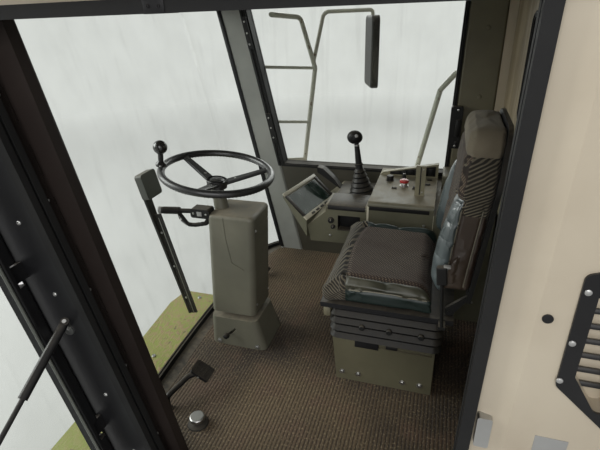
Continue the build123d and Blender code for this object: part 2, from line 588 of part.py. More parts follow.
def headliner():
    """Pan on the roof frame with the raised ceiling tray and its air outlets."""
    pan = extrude(Pos(0, 0, RAIL_TOP) * roof_inside(), amount=TRAY_SKIN)
    x0, x1, half = REAR_X + TRAY_REAR, raked(NOSE_X, HEAD_Z) - TRAY_FRONT, HALF_WIDTH - TRAY_SIDE
    tray = block(x0, x1, -half, half, RAIL_TOP, CEILING_Z + TRAY_SKIN)
    skin = TRAY_SKIN
    liner = pan + tray - block(x0 + skin, x1 - skin, -half + skin, half - skin, RAIL_TOP - 1, CEILING_Z)
    for x in OUTLETS_X:
        for y in (-OUTLET_Y, OUTLET_Y):
            liner -= Pos(x, y, CEILING_Z) * Cylinder(OUTLET_R, OUTLET_DEPTH)
            liner += Pos(x, y, CEILING_Z) * Cylinder(OUTLET_R / 2, OUTLET_DEPTH)
    return liner


def roof_shell():
    """Moulded roof cap: upright band, sloping shoulders, ribbed top, lamp pockets and the rear air grille."""
    front, rear = roof_ends()
    low, high = roof_levels()
    band = low + ROOF_BAND
    half = HALF_WIDTH + ROOF_SIDE
    plan = Pos((front + rear) / 2, 0, 0) * RectangleRounded(front - rear, 2 * half, ROOF_CORNER)
    cap = extrude(Pos(0, 0, low) * plan, amount=band - low)
    cap += extrude(Pos(0, 0, band) * plan, amount=high - band, taper=ROOF_TAPER)
    cap = fillet(cap.edges().group_by(Axis.Z)[-1], ROOF_EDGE)
    rib = extrude(SlotOverall(RIB_LENGTH, RIB_WIDTH), amount=RIB_HEIGHT + 1)
    for index in range(RIB_COUNT):
        y = RIB_PITCH * (index - (RIB_COUNT - 1) / 2)
        cap += Pos((front + rear) / 2, y, high - 1) * rib
    cap -= extrude(Pos(0, 0, low - 1) * roof_inside(), amount=band - low + 1)
    cap -= extrude(Pos(0, 0, band) * roof_inside(), amount=high - ROOF_CROWN - band, taper=ROOF_TAPER)
    middle = low + ROOF_BAND / 2
    cap -= Pos(rear, 0, middle) * Box(2 * GRILLE_DEPTH, GRILLE_WIDTH, GRILLE_HEIGHT)
    for index in range(SLAT_COUNT):
        z = middle + GRILLE_HEIGHT * ((index + 0.5) / SLAT_COUNT - 0.5)
        slat = Box(GRILLE_DEPTH - SLAT_THICK, GRILLE_WIDTH + 2, SLAT_THICK)
        cap += Pos(rear + GRILLE_DEPTH / 2, 0, z) * Rot(0, 30, 0) * slat
    for x, y, z in lamp_places():
        cap -= Pos(x, y, z) * Box(2 * LAMP_DEPTH, LAMP_WIDTH + 2 * LAMP_PLAY, LAMP_HEIGHT + 2 * LAMP_PLAY)
    return cap


def lamp_places():
    """Middle of each working lamp's face, in the front of the roof."""
    half = HALF_WIDTH + ROOF_SIDE
    ys = [side * (half - inwards) for side in (-1, 1) for inwards in LAMP_SIDES]
    return [(roof_ends()[0], y, roof_levels()[0] + LAMP_LIFT) for y in ys]


def work_lamps():
    """Rectangular working lamps with a bezel and a hollow reflector."""
    body = Pos(-LAMP_DEPTH / 2, 0, 0) * Box(LAMP_DEPTH, LAMP_WIDTH, LAMP_HEIGHT)
    body = fillet(body.edges().filter_by(Axis.X), LAMP_BEZEL)
    body -= Box(2 * LAMP_LENS, LAMP_WIDTH - 2 * LAMP_BEZEL, LAMP_HEIGHT - 2 * LAMP_BEZEL)
    body -= Pos(LAMP_BOWL - LAMP_LENS - LAMP_BOWL_DEPTH, 0, 0) * Sphere(LAMP_BOWL)
    wide, tall = LAMP_WIDTH + 2 * LAMP_PLAY, LAMP_HEIGHT + 2 * LAMP_PLAY
    tray = Pos(-LAMP_DEPTH / 2, 0, 0) * Box(LAMP_DEPTH, wide, tall)
    collar = tray - Box(2 * (LAMP_DEPTH - LAMP_LENS), REACH, REACH) - body
    lamp = body + collar
    return Part() + [Pos(x, y, z) * lamp for x, y, z in lamp_places()]


# Door, drawn shut and then swung open about its raked hinge axis
def door_axis():
    """Hinge axis of the door, along the rake of the pillar."""
    return Axis((DOOR_AXIS_X, DOOR_AXIS_Y, MAT_TOP), (RAKE, 0, 1))


def swing(shape, angle=-DOOR_OPEN):
    """Door piece turned from shut to the angle at which it stands."""
    return shape.rotate(door_axis(), angle)


def door_outline(inset=0.0):
    """Outline of the shut door, as (x, z) points."""
    low, high = MAT_TOP + DOOR_LOW + inset, HEAD_Z + DOOR_TOP - inset
    front, rear = DOOR_AXIS_X + DOOR_FRONT_PAST - inset, B_FRONT_X - DOOR_OVERLAP + inset
    return opening_outline(rear, front, low, high)


def door_frame():
    """Rounded tube frame of the door, notched for its hinges."""
    frame = side_plate(door_outline(), DOOR_FRAME_IN, DOOR_FRAME_OUT, DOOR_CORNER)
    frame -= side_plate(door_outline(DOOR_FRAME_WIDTH), DOOR_FRAME_IN - 1, DOOR_FRAME_OUT + 1,
                        DOOR_CORNER - DOOR_FRAME_WIDTH)
    inner_edges = frame.edges().filter_by_position(Axis.Y, DOOR_FRAME_IN - 0.1, DOOR_FRAME_IN + 0.1)
    frame = fillet(inner_edges, DOOR_SOFT)
    for height in HINGE_HEIGHTS:
        hinge = hinge_plane(height)
        frame -= hinge * Box(2 * (HINGE_R + HINGE_SPACE), 3 * DOOR_FRAME_THICK, HINGE_NOTCH)
        frame -= hinge * Cylinder(HINGE_PIN_R + PIN_PLAY, HINGE_NOTCH + 2 * HINGE_PIN_DEPTH + 1)
    return swing(frame)


def hinge_plane(height):
    """Plane on the hinge axis: X runs back along the shut door, Y towards the pillar."""
    return Plane(origin=(raked(DOOR_AXIS_X, height), DOOR_AXIS_Y, height),
                 x_dir=(-1, 0, RAKE), z_dir=(RAKE, 0, 1))


def door_hinges():
    """Three hinge brackets welded to the pillar, each with a fixed pin."""
    reach = DOOR_AXIS_Y - HALF_WIDTH
    bracket = Cylinder(HINGE_R, HINGE_LENGTH) + Pos(0, reach / 2, 0) * Box(2 * HINGE_R, reach, HINGE_LENGTH)
    bracket += Cylinder(HINGE_PIN_R, HINGE_NOTCH + 2 * HINGE_PIN_DEPTH)
    return Part() + [hinge_plane(height) * bracket for height in HINGE_HEIGHTS]


def stay_line():
    """Ends of the door stay as the door stands, and the axis that its tube swings about."""
    foot_y = HALF_WIDTH + STAY_FOOT_OUT
    pillar = Vector(raked(DOOR_AXIS_X, STAY_FOOT_Z) - STAY_FOOT_BACK, foot_y, STAY_FOOT_Z)
    shut = hinge_plane(STAY_DOOR_Z) * Pos(STAY_DOOR_REACH, DOOR_AXIS_Y - foot_y, 0)
    stud_shut = shut.position
    stud_open = swing(Vertex(*stud_shut)).center()
    axis = (stud_open - pillar).cross(stud_shut - pillar).normalized()
    return pillar, stud_open, axis


def door_stay():
    """Gas strut of the door: its tube, its rod and the studs on pillar and glass."""
    pillar, stud, axis = stay_line()
    along = (stud - pillar).normalized()
    span = (stud - pillar).length
    barrel = Plane(origin=pillar, x_dir=axis, z_dir=along)
    eye = Plane(origin=pillar, z_dir=axis)
    wide = 4 * STAY_TUBE_R
    tube_solid = barrel * Pos(0, 0, STAY_EYE_R - 1) * upright(STAY_TUBE_R, STAY_TUBE_LENGTH - STAY_EYE_R + 1)
    tube_solid -= eye * Cylinder(STAY_EYE_R + 1, wide)
    tube_solid += eye * Cylinder(STAY_EYE_R + 1.5, STAY_EYE_WIDTH + 4)
    tube_solid -= eye * Cylinder(STAY_STUD_R + PIN_PLAY, wide)
    tube_solid -= barrel * Pos(0, 0, STAY_BORE) * upright(STAY_ROD_R + PIN_PLAY, STAY_TUBE_LENGTH)
    outwards = (swing(Vertex(0, 100, 0)).center() - swing(Vertex(0, 0, 0)).center()).normalized()
    end = Plane(origin=stud, z_dir=outwards)
    bar = upright(STAY_ROD_R, STAY_ROD_LENGTH - STAY_EYE_R + 2)
    rod_solid = barrel * Pos(0, 0, span - STAY_ROD_LENGTH) * bar
    rod_solid += end * Cylinder(STAY_EYE_R, STAY_EYE_WIDTH)
    rod_solid -= end * Cylinder(STAY_STUD_R + 0.5, 2 * STAY_EYE_WIDTH)
    start = STAY_EYE_WIDTH / 2 + STAY_SIDE_GAP
    glass_face = DOOR_FRAME_OUT - HALF_WIDTH - STAY_FOOT_OUT
    door_stud = end * Pos(0, 0, start) * upright(STAY_STUD_R, glass_face - start)
    door_stud += end * Pos(0, 0, glass_face - STAY_WASHER_THICK) * upright(STAY_WASHER, STAY_WASHER_THICK)
    foot = STAY_FOOT_OUT / axis.Y
    head = pillar + axis * (STAY_EYE_WIDTH + 2)
    root = pillar - axis * (foot + STAY_STUD_R + 1)
    pillar_stud = rod(tuple(root), tuple(head), STAY_STUD_R)
    pillar_stud += Pos(*(pillar - axis * foot)) * Rot(90, 0, 0) * Cylinder(STAY_FOOT_R, 2 * STAY_STUD_R)
    pillar_stud &= block(0, REACH, HALF_WIDTH, REACH, 0, REACH)
    return tube_solid, rod_solid, door_stud, pillar_stud


def door_handle():
    """Pull handle inside the pane, and the outer handle with its lock plate at the rear edge."""
    inner = DOOR_FRAME_OUT - DOOR_AXIS_Y
    points = [(HANDLE_REACH, -inner, HANDLE_LOW), (HANDLE_REACH, -inner + HANDLE_STAND, HANDLE_LOW),
              (HANDLE_REACH, -inner + HANDLE_STAND, HANDLE_HIGH), (HANDLE_REACH, -inner, HANDLE_HIGH)]
    bar = tube([(x, y, z - MAT_TOP) for x, y, z in points], HANDLE_R, HANDLE_BEND)
    handle = hinge_plane(MAT_TOP) * bar
    x = B_FRONT_X - DOOR_OVERLAP + GRIP_IN
    face = DOOR_FRAME_OUT + GLASS
    grip = tube([(x, face, GRIP_LOW), (x, face + GRIP_STAND, GRIP_LOW), (x, face + GRIP_STAND, GRIP_HIGH),
                 (x, face, GRIP_HIGH)], GRIP_R, GRIP_BEND)
    plate = block(x - LOCK_WIDTH / 2, x + LOCK_WIDTH / 2, face, face + LOCK_THICK,
                  GRIP_LOW - LOCK_MARGIN, GRIP_HIGH + LOCK_MARGIN)
    plate = fillet(plate.edges().filter_by(Axis.Y), LOCK_WIDTH / 3)
    return swing(handle + grip + plate)


def door_latch():
    """Striker plate on the pillar behind the doorway, covered by the shut door."""
    x = leaned(B_FRONT_X, STRIKER_Z) - STRIKER_IN
    plate = block(x - STRIKER_WIDTH, x, HALF_WIDTH - B_BEVEL_DEPTH, HALF_WIDTH + STRIKER_THICK,
                  STRIKER_Z, STRIKER_Z + STRIKER_HEIGHT)
    plate = fillet(plate.edges().filter_by(Axis.Y), STRIKER_THICK)
    return plate - rear_pillar(1, B_FRONT_X, B_WIDTH, True)


def door_seal():
    """Black rubber profile round the doorway, with a groove between its two lips."""
    low, high = INNER + SEAL_START, HALF_WIDTH + SEAL_PROUD
    middle = (low + high) / 2
    ring = side_plate(doorway(), low, high) - side_plate(doorway(DOOR_SEAL), low - 1, high + 1)
    groove = side_plate(doorway(DOOR_SEAL - SEAL_GROOVE), middle - SEAL_GROOVE / 2, middle + SEAL_GROOVE / 2)
    return ring - groove


def door_glass():
    """Toughened pane bonded to the outside of the door frame."""
    outside = DOOR_FRAME_OUT + GLASS
    return swing(side_plate(door_outline(GLASS_IN), DOOR_FRAME_OUT, outside, DOOR_CORNER - GLASS_IN))


def right_window():
    """Fixed pane and its rubber channel in the right wall."""
    outside = -HALF_WIDTH + PANE_IN
    pane = side_plate(right_window_outline(GLASS_EDGE), outside, outside + GLASS)
    channel = side_plate(right_window_outline(), -HALF_WIDTH, -INNER)
    channel -= side_plate(right_window_outline(SEAL_WIDTH), -HALF_WIDTH - 1, -INNER + 1)
    return pane, channel - pane


def rear_opening(x0, x1, inset=0.0):
    """Rounded opening of the rear window, from x0 to x1."""
    width = 2 * (REAR_WINDOW_HALF - inset)
    height = REAR_WINDOW_HIGH - REAR_WINDOW_LOW - 2 * inset
    plane = Plane(origin=(x0, 0, (REAR_WINDOW_LOW + REAR_WINDOW_HIGH) / 2), x_dir=(0, 1, 0), z_dir=(1, 0, 0))
    return extrude(plane * RectangleRounded(width, height, REAR_WINDOW_ROUND - inset), amount=x1 - x0)


def rear_window():
    """Pane in the rear wall and the rubber channel round it."""
    face = REAR_X + REAR_WALL + LINING_THICK
    x = REAR_X + REAR_PANE_IN
    pane = rear_opening(x, x + GLASS, GLASS_EDGE)
    channel = rear_opening(REAR_X, face) - rear_opening(REAR_X - 1, face + 1, SEAL_WIDTH)
    return pane, channel - pane


def rear_wall():
    """Insulated rear wall between the quarter panels, with the opening of the rear window."""
    wall = block(REAR_X, REAR_X + REAR_WALL, -INNER, INNER, FLOOR_Z, HEAD_Z)
    return wall - rear_opening(REAR_X - 1, REAR_X + REAR_WALL + 1)


def rear_lining():
    """Padded vinyl on the upper rear wall and the trim panel under it."""
    face, half = REAR_X + REAR_WALL, INNER - LINING_GAP
    upper = block(face, face + LINING_THICK, -half, half, LINING_SEAM_Z + LINING_GAP, HEAD_Z - LINING_GAP)
    lower = block(face, face + LINING_LOW_THICK, -half, half, MAT_TOP, LINING_SEAM_Z)
    return upper - rear_opening(face - 1, face + LINING_THICK + 1), lower


def floor_mat():
    """Rubber mat over the whole floor, up to the walls and the rear trim."""
    rear = REAR_X + REAR_WALL + LINING_THICK + LINING_GAP
    mat = extrude(Pos(0, 0, -MAT_THICK) * plan_face(MAT_TOP, -WALL), amount=MAT_THICK)
    return mat & block(rear, REACH, -REACH, REACH, 0, REACH)


def wiper():
    """Windscreen wiper: motor on the glass, tapered arm that hangs down and its blade."""
    surface = raked(NOSE_X, WIPER_Z)
    plane = Plane(origin=(surface + NUDGE, WIPER_Y, WIPER_Z), x_dir=(0, 1, 0), z_dir=(1, 0, -RAKE))
    motor = Pos(0, 0, MOTOR_DEPTH / 2) * Box(MOTOR_WIDTH, MOTOR_HEIGHT, MOTOR_DEPTH)
    motor = fillet(motor.edges().filter_by(Axis.Z), MOTOR_ROUND)
    motor = chamfer(motor.edges().group_by(Axis.Z)[-1], MOTOR_ROUND / 3)
    motor += Pos(0, 0, MOTOR_DEPTH) * upright(MOTOR_BOSS, (WIPER_LIFT - WIPER_THICK - MOTOR_DEPTH) / 2)
    motor += Pos(0, 0, MOTOR_DEPTH) * upright(SPINDLE_R, WIPER_LIFT + WIPER_THICK - MOTOR_DEPTH + 3)
    taper = Polyline((-WIPER_ROOT, 0), (WIPER_ROOT, 0), (WIPER_TIP, -WIPER_REACH), (-WIPER_TIP, -WIPER_REACH),
                     close=True)
    arm = Cylinder(WIPER_ROOT, WIPER_THICK)
    arm += Pos(0, 0, -WIPER_THICK / 2) * extrude(make_face(taper), amount=WIPER_THICK)
    arm -= Cylinder(SPINDLE_R + PIN_PLAY, REACH)
    arm = Pos(0, 0, WIPER_LIFT) * arm
    height = WIPER_LIFT - WIPER_THICK / 2 + 1
    arm += Pos(0, -WIPER_REACH + BLADE_LENGTH / 2, height - BLADE_HEIGHT / 2) * Box(
        BLADE_WIDTH, BLADE_LENGTH, BLADE_HEIGHT)
    return plane * motor, plane * arm


def screen_face(grow=0.0):
    """Face of the terminal, turned and tipped towards the driver, with a border of grow."""
    near, far, rise = Vector(*SCREEN_NEAR), Vector(*SCREEN_FAR), Vector(*SCREEN_RISE)
    across, up = (far - near).normalized() * grow, rise.normalized() * grow
    corners = (near - across - up, far + across - up, far + across + up + rise, near - across + up + rise)
    return make_face(Polyline(*[tuple(corner) for corner in corners], close=True))


def monitor():
    """Screen of the terminal, let into its housing."""
    down = Vector(*SCREEN_RISE).cross(Vector(*SCREEN_FAR) - Vector(*SCREEN_NEAR))
    down = down.normalized() * (1 if down.Z < 0 else -1)
    return extrude(screen_face(-BEZEL), amount=SCREEN_THICK, dir=tuple(down))


def console_front():
    """Cantilevered front of the console with the terminal's wedge, its hood, a palm rest and a pocket."""
    far = -(INNER - CONSOLE_WALL_GAP)
    outline = [(CABINET_FRONT, CONSOLE_LOW), WEDGE_LOW, WEDGE_NECK, (PALM_FRONT, CONSOLE_TOP),
               (CABINET_FRONT, CONSOLE_TOP)]
    body = side_plate(outline, CONSOLE_Y, far)
    wedge = side_plate([WEDGE_LOW, WEDGE_TIP, (WEDGE_TIP[0], REACH), (0, REACH), (0, WEDGE_LOW[1])],
                       -REACH, 0)
    body += extrude(screen_face(BEZEL / 2), amount=CONSOLE_TOP / 2, dir=(0, 0, -1)) & wedge
    body -= extrude(screen_face(BEZEL / 2), amount=CONSOLE_TOP, dir=(0, 0, 1))
    body -= side_plate([(POCKET[0], POCKET_LOW), (POCKET[1], POCKET_LOW), (POCKET[1], POCKET_HIGH),
                        (POCKET[0], POCKET_HIGH)], CONSOLE_Y - POCKET_DEPTH, CONSOLE_Y + 1, POCKET_ROUND)
    for x, z, radius in DIAL_PLACES:
        body += Pos(x, CONSOLE_Y + DIAL_LENGTH / 2, z) * Rot(90, 0, 0) * Cylinder(radius, DIAL_LENGTH)
    palm = block(CABINET_FRONT, PALM_FRONT, CONSOLE_Y, CONSOLE_Y - PALM_FAR,
                 CONSOLE_TOP - 1, CONSOLE_TOP + PALM_HEIGHT)
    palm = fillet(palm.edges().group_by(Axis.Z)[-1].filter_by(Axis.X), PALM_ROUND)
    body += palm - extrude(screen_face(BEZEL / 2), amount=CONSOLE_TOP, dir=(0, 0, 1))
    body += side_plate(HOOD_OUTLINE, HOOD_Y, HOOD_Y - HOOD_WIDTH)
    return body - monitor()


def console_cabinet():
    """Cabinet beside the seat, with a lower rear end and a box on it."""
    body = block(CABINET_REAR, CABINET_FRONT, CONSOLE_Y, -INNER, MAT_TOP, CABINET_TOP)
    body = fillet(body.edges().filter_by(Axis.X).group_by(Axis.Z)[-1].sort_by(Axis.Y)[-1:], CABINET_ROUND)
    body += block(TAIL_REAR, CABINET_REAR, CONSOLE_Y, -INNER, MAT_TOP, TAIL_TOP)
    box = block(TAIL_REAR, TAIL_BOX_FRONT, -INNER + TAIL_BOX_WIDTH, -INNER,
                TAIL_TOP, TAIL_TOP + TAIL_BOX_HEIGHT)
    return body + fillet(box.edges().group_by(Axis.Z)[-1], CABINET_ROUND / 2)


def lever():
    """Drive lever with its folded boot, on a plate in the console."""
    x, y, z = LEVER_X, CONSOLE_Y - LEVER_FAR, CONSOLE_TOP
    plate = Pos(x, y, z) * extrude(RectangleRounded(LEVER_PLATE, LEVER_PLATE, LEVER_PLATE_THICK * 2),
                                   amount=LEVER_PLATE_THICK)
    base = LEVER_PLATE_THICK - 1
    profile = [(0, base), (BOOT_R - BOOT_DEPTH, base)]
    for fold in range(BOOT_FOLDS):
        radius = BOOT_R + (BOOT_TOP_R - BOOT_R) * fold / (BOOT_FOLDS - 1)
        low = base + BOOT_PITCH * fold
        profile += [(radius, low + BOOT_PITCH / 3), (radius - BOOT_DEPTH, low + BOOT_PITCH)]
    top = base + BOOT_PITCH * BOOT_FOLDS
    profile += [(LEVER_SHAFT_R, top + BOOT_PITCH), (LEVER_NECK_R, LEVER_HEIGHT), (0, LEVER_HEIGHT)]
    stick = revolve(Plane.XZ * make_face(Polyline(*profile, close=True)), axis=Axis.Z)
    ball = scale(Sphere(LEVER_GRIP_R), (1.25, 0.85, 1.1))
    stick += Pos(LEVER_NECK_R / 2, 0, LEVER_HEIGHT + LEVER_GRIP_R / 2) * ball
    stick = Pos(x, y, z) * Rot(0, LEVER_LEAN, 0) * stick
    return plate + (stick & block(-REACH, REACH, -REACH, 0, z + base, REACH))


def switch_panel():
    """Raised rear panel of the cabinet, with buttons and an upright bracket in front of it."""
    top = CABINET_TOP
    y = -INNER + PANEL_SIDE
    panel = side_plate([(CABINET_FRONT, top), (CABINET_FRONT - PANEL_BEVEL, top + PANEL_FRONT_HEIGHT),
                        (CABINET_REAR, top + PANEL_REAR_HEIGHT), (CABINET_REAR, top)], y, y - PANEL_THICK)
    for x, y, radius, height in BUTTONS:
        cap = Pos(x, y, top) * upright(radius, height)
        panel += fillet(cap.edges().group_by(Axis.Z)[-1], radius / 4)
    return panel + Pos(UPRIGHT_X, UPRIGHT_Y, top + UPRIGHT_HEIGHT / 2) * Box(
        UPRIGHT_WIDTH, UPRIGHT_THICK, UPRIGHT_HEIGHT)


def outside_wall():
    """Space inside the right wall's outer face, which outer tubes stop at."""
    return block(-REACH, REACH, -HALF_WIDTH, REACH, -REACH, REACH)


def along_wall(points, out):
    """Points of an outer tube that starts and ends in the right wall and runs at the distance out."""
    last = len(points) - 1
    return [(x, -HALF_WIDTH + (RAIL_BAR_R if i in (0, last) else -out), z) for i, (x, z) in enumerate(points)]


def grab_rail():
    """Tubular rail outside the right wall."""
    return tube(along_wall(RAIL_POINTS, RAIL_OUT), RAIL_BAR_R, RAIL_BEND / 2) - outside_wall()


def mirror_mast():
    """Tubular mast of the right mirror with its stays and wall plates, and the arm to the head."""
    out = -HALF_WIDTH - MIRROR_OUT
    mast = tube(along_wall(MAST_POINTS, MIRROR_OUT), MAST_R, MAST_BEND)
    for x, z in MAST_STAYS:
        foot = (raked(WING_X - A_PILLAR_WIDTH / 2, z + MAST_STAY_RISE), -HALF_WIDTH, z + MAST_STAY_RISE)
        mast += rod((x, out, z), foot, MAST_STAY_R)
        mast += Pos(*foot) * Rot(90, 0, 0) * Cylinder(MAST_FOOT_R, 2 * MAST_FOOT_THICK)
    arm = [(ARM_ROOT[0], out, ARM_ROOT[1]), (ARM_ELBOW[0], -HALF_WIDTH - ARM_HALF_OUT, ARM_ELBOW[1]),
           (ARM_END, -HALF_WIDTH - MIRROR_ARM_OUT, ARM_ELBOW[1]),
           (ARM_END, -HALF_WIDTH - MIRROR_ARM_OUT, HEAD_TOP + NUDGE)]
    mast += tube(arm, ARM_R, [ARM_BEND, ARM_R * 1.5])
    return mast - outside_wall()


def mirror_head():
    """Mirror in its rounded housing, hung from the arm."""
    centre = Pos(ARM_END, -HALF_WIDTH - MIRROR_ARM_OUT, HEAD_TOP - HEAD_HEIGHT / 2)
    flat = Plane(origin=(0, 0, 0), x_dir=(0, 1, 0), z_dir=(1, 0, 0))
    face = flat * RectangleRounded(HEAD_WIDTH, HEAD_HEIGHT, HEAD_ROUND)
    head = extrude(face, amount=HEAD_DEPTH / 2, both=True)
    head = fillet(head.edges().group_by(Axis.X)[-1], HEAD_DEPTH / 3)
    recess = extrude(flat * RectangleRounded(HEAD_WIDTH - 2 * MIRROR_RIM, HEAD_HEIGHT - 2 * MIRROR_RIM,
                                             HEAD_ROUND - MIRROR_RIM), amount=2 * MIRROR_RECESS, both=True)
    head -= Pos(-HEAD_DEPTH / 2 - MIRROR_RECESS, 0, 0) * recess
    return centre * Rot(0, 0, HEAD_TURN) * head


def pedal_pad():
    """Pedal plate with cross ribs."""
    pad = extrude(RectangleRounded(PEDAL_LENGTH, PEDAL_WIDTH, PEDAL_ROUND), amount=PEDAL_THICK)
    for index in range(PEDAL_RIBS):
        x = PEDAL_LENGTH * ((index + 0.5) / PEDAL_RIBS - 0.5)
        pad += Pos(x, 0, PEDAL_THICK) * Box(2 * PEDAL_RIB, PEDAL_WIDTH - PEDAL_ROUND, 2 * PEDAL_RIB)
    return Pos(0, 0, -PEDAL_THICK / 2) * pad


def pedals():
    """Brake pedal on its swept arm and the right pedal on its post."""
    x, y, z = BRAKE
    brake = Pos(x, y, z) * Rot(0, -BRAKE_LEAN, 0) * pedal_pad()
    arm = [(x, y, z), (x + ARM_SWEEP / 2, y + ARM_SWEEP / 2, z), (*BRAKE_ROOT, z - ARM_SWEEP / 4),
           (*BRAKE_ROOT, MAT_TOP)]
    brake += tube(arm, PEDAL_ARM_R, ARM_SWEEP / 4)
    x, y, z = RIGHT_PEDAL
    right = Pos(x, y, z) * Rot(0, -RIGHT_LEAN, 0) * pedal_pad()
    right += Pos(x, y, MAT_TOP) * upright(PEDAL_ARM_R, z - MAT_TOP)
    above = block(-REACH, REACH, -REACH, REACH, MAT_TOP, REACH)
    return (brake + right) & above


def foot_switch():
    """Foot switch with a domed cap."""
    cap = Pos(0, 0, SWITCH_HEIGHT) * upright(SWITCH_R, SWITCH_CAP)
    cap = fillet(cap.edges().group_by(Axis.Z)[-1], SWITCH_CAP / 2)
    return Pos(SWITCH[0], SWITCH[1], MAT_TOP) * (upright(SWITCH_STEM_R, SWITCH_HEIGHT + 1) + cap)


def stalk():
    """Multi-function lever on the front of the column, with the loop of its lead."""
    x, y, z = STALK_X, STALK_Y, STALK_Z
    box = block(x, x + STALK_BOX_LENGTH, y, y + STALK_BOX_WIDTH, z, z + STALK_BOX_HEIGHT)
    box = fillet(box.edges().filter_by(Axis.Y), STALK_BOX_HEIGHT / 4)
    front = x + STALK_BOX_LENGTH
    middle_y, middle_z = y + STALK_BOX_WIDTH / 2, z + STALK_BOX_HEIGHT / 2
    tip = (front + STALK_LENGTH, middle_y + STALK_SPREAD, middle_z + STALK_RISE)
    direction = (STALK_LENGTH, STALK_SPREAD, STALK_RISE)
    grip = rod((front - STALK_R, middle_y, middle_z), tip, STALK_R)
    grip += rod(tuple(end - STALK_GRIP * part for end, part in zip(tip, direction)), tip, STALK_TIP_R)
    low, rear = z - LEAD_DROP, x + 3 * LEAD_R
    lead = tube([(front + LEAD_FRONT, middle_y + STALK_SPREAD * LEAD_FRONT / STALK_LENGTH, middle_z),
                 (front + LEAD_FRONT / 2, middle_y, low), (rear, middle_y, low + 2 * LEAD_R),
                 (rear, middle_y, z + 1)], LEAD_R, LEAD_BEND)
    return box + grip + lead - column()


def latch_box():
    """Black latch of the right window on the rear pillar, and its hinges on the front pillar."""
    front = leaned(C_FRONT_X, LATCH_Z) + SEAL_WIDTH
    latch = block(front - LATCH_WIDTH, front, -INNER, -INNER + LATCH_DEPTH, LATCH_Z, LATCH_Z + LATCH_HEIGHT)
    latch = fillet(latch.edges().filter_by(Axis.Y), LATCH_DEPTH / 4)
    x = WING_X - A_PILLAR_WIDTH
    for z in WINDOW_HINGES:
        hinge = raked_strip(x - WINDOW_HINGE_WIDTH / 2, x + WINDOW_HINGE_WIDTH / 2, z, z + WINDOW_HINGE_LENGTH)
        latch += side_plate(hinge, -INNER, -INNER + WINDOW_HINGE_DEPTH)
    return latch


def belt_buckle():
    """Seat belt buckle on its stalk, on the door side of the seat."""
    y = SEAT_Y + SEAT_HALF + BUCKLE_SIDE
    foot_low = SUSPENSION_TOP + BUCKLE_STEM_R
    stem = rod((BUCKLE_X - BUCKLE_LEAN, y, foot_low + BUCKLE_STEM_R), (BUCKLE_X, y, BUCKLE_Z), BUCKLE_STEM_R)
    body = fillet(Box(BUCKLE_WIDTH, BUCKLE_THICK, BUCKLE_LENGTH).edges(), BUCKLE_STEM_R)
    body = Pos(BUCKLE_X, y, BUCKLE_Z) * Rot(0, BUCKLE_ANGLE, 0) * body
    foot_x = BUCKLE_X - BUCKLE_LEAN
    foot = block(foot_x - BUCKLE_FOOT / 2, foot_x + BUCKLE_FOOT / 2, SEAT_Y + PAN_HALF, y + BUCKLE_STEM_R,
                 foot_low, foot_low + 2 * BUCKLE_STEM_R)
    return stem + body + foot


def front_ledge():
    """Narrow cleaning platform on the front of the floor frame."""
    under = LEDGE_TOP - LEDGE_THICK
    last = LEDGE_EDGE[-1][1]
    outline = [(LEDGE_REAR_X, LEDGE_EDGE[0][1]), *LEDGE_EDGE, (LEDGE_INNER_X, last)]
    ledge = flat_plate(outline, under, LEDGE_TOP)
    inner = [(x - LEDGE_EDGE_THICK, y) for x, y in reversed(LEDGE_EDGE)]
    ledge += flat_plate([*LEDGE_EDGE, *inner], under - LEDGE_LIP, under)
    for y in LEDGE_WEBS:
        ledge += block(LEDGE_INNER_X, LEDGE_WEB_END, y, y + LEDGE_EDGE_THICK, under - LEDGE_LIP, under)
    body = extrude(Pos(0, 0, -MAT_TOP) * plan_face(MAT_TOP, FRAME_LIP), amount=MAT_TOP)
    return ledge - body


def wheel_plane():
    """Plane of the rim, tipped towards the driver."""
    tilt = radians(WHEEL_TILT)
    return Plane(origin=WHEEL_CENTRE, x_dir=(cos(tilt), 0, sin(tilt)), z_dir=(-sin(tilt), 0, cos(tilt)))


def steering_wheel():
    """Rim, three tapered spokes and a domed hub, drawn flat and then tipped."""
    low, high = -HUB_DROP - HUB_HEIGHT / 2, -HUB_DROP + HUB_HEIGHT / 2
    dome = (HUB_R**2 + HUB_DOME**2) / (2 * HUB_DOME)
    hub = Pos(0, 0, low) * upright(HUB_R, HUB_HEIGHT) & Pos(0, 0, high - dome) * Sphere(dome)
    wheel = Torus(WHEEL_RADIUS, RIM_R) + hub
    for angle in SPOKES:
        start, end = Vector(HUB_R * 0.7, 0, -HUB_DROP), Vector(WHEEL_RADIUS - RIM_R / 3, 0, 0)
        along = (end - start).normalized()
        root = Plane(origin=start, x_dir=(0, 1, 0), z_dir=along) * RectangleRounded(
            SPOKE_ROOT, SPOKE_THICK, SPOKE_THICK / 3)
        tip = Plane(origin=end, x_dir=(0, 1, 0), z_dir=along) * RectangleRounded(
            SPOKE_TIP, SPOKE_THICK, SPOKE_THICK / 3)
        wheel += Rot(0, 0, angle) * loft([root, tip])
    wheel -= Pos(0, 0, low - 1) * upright(SHAFT_R + PIN_PLAY, SHAFT_DEPTH + 1.5)
    return wheel_plane() * wheel


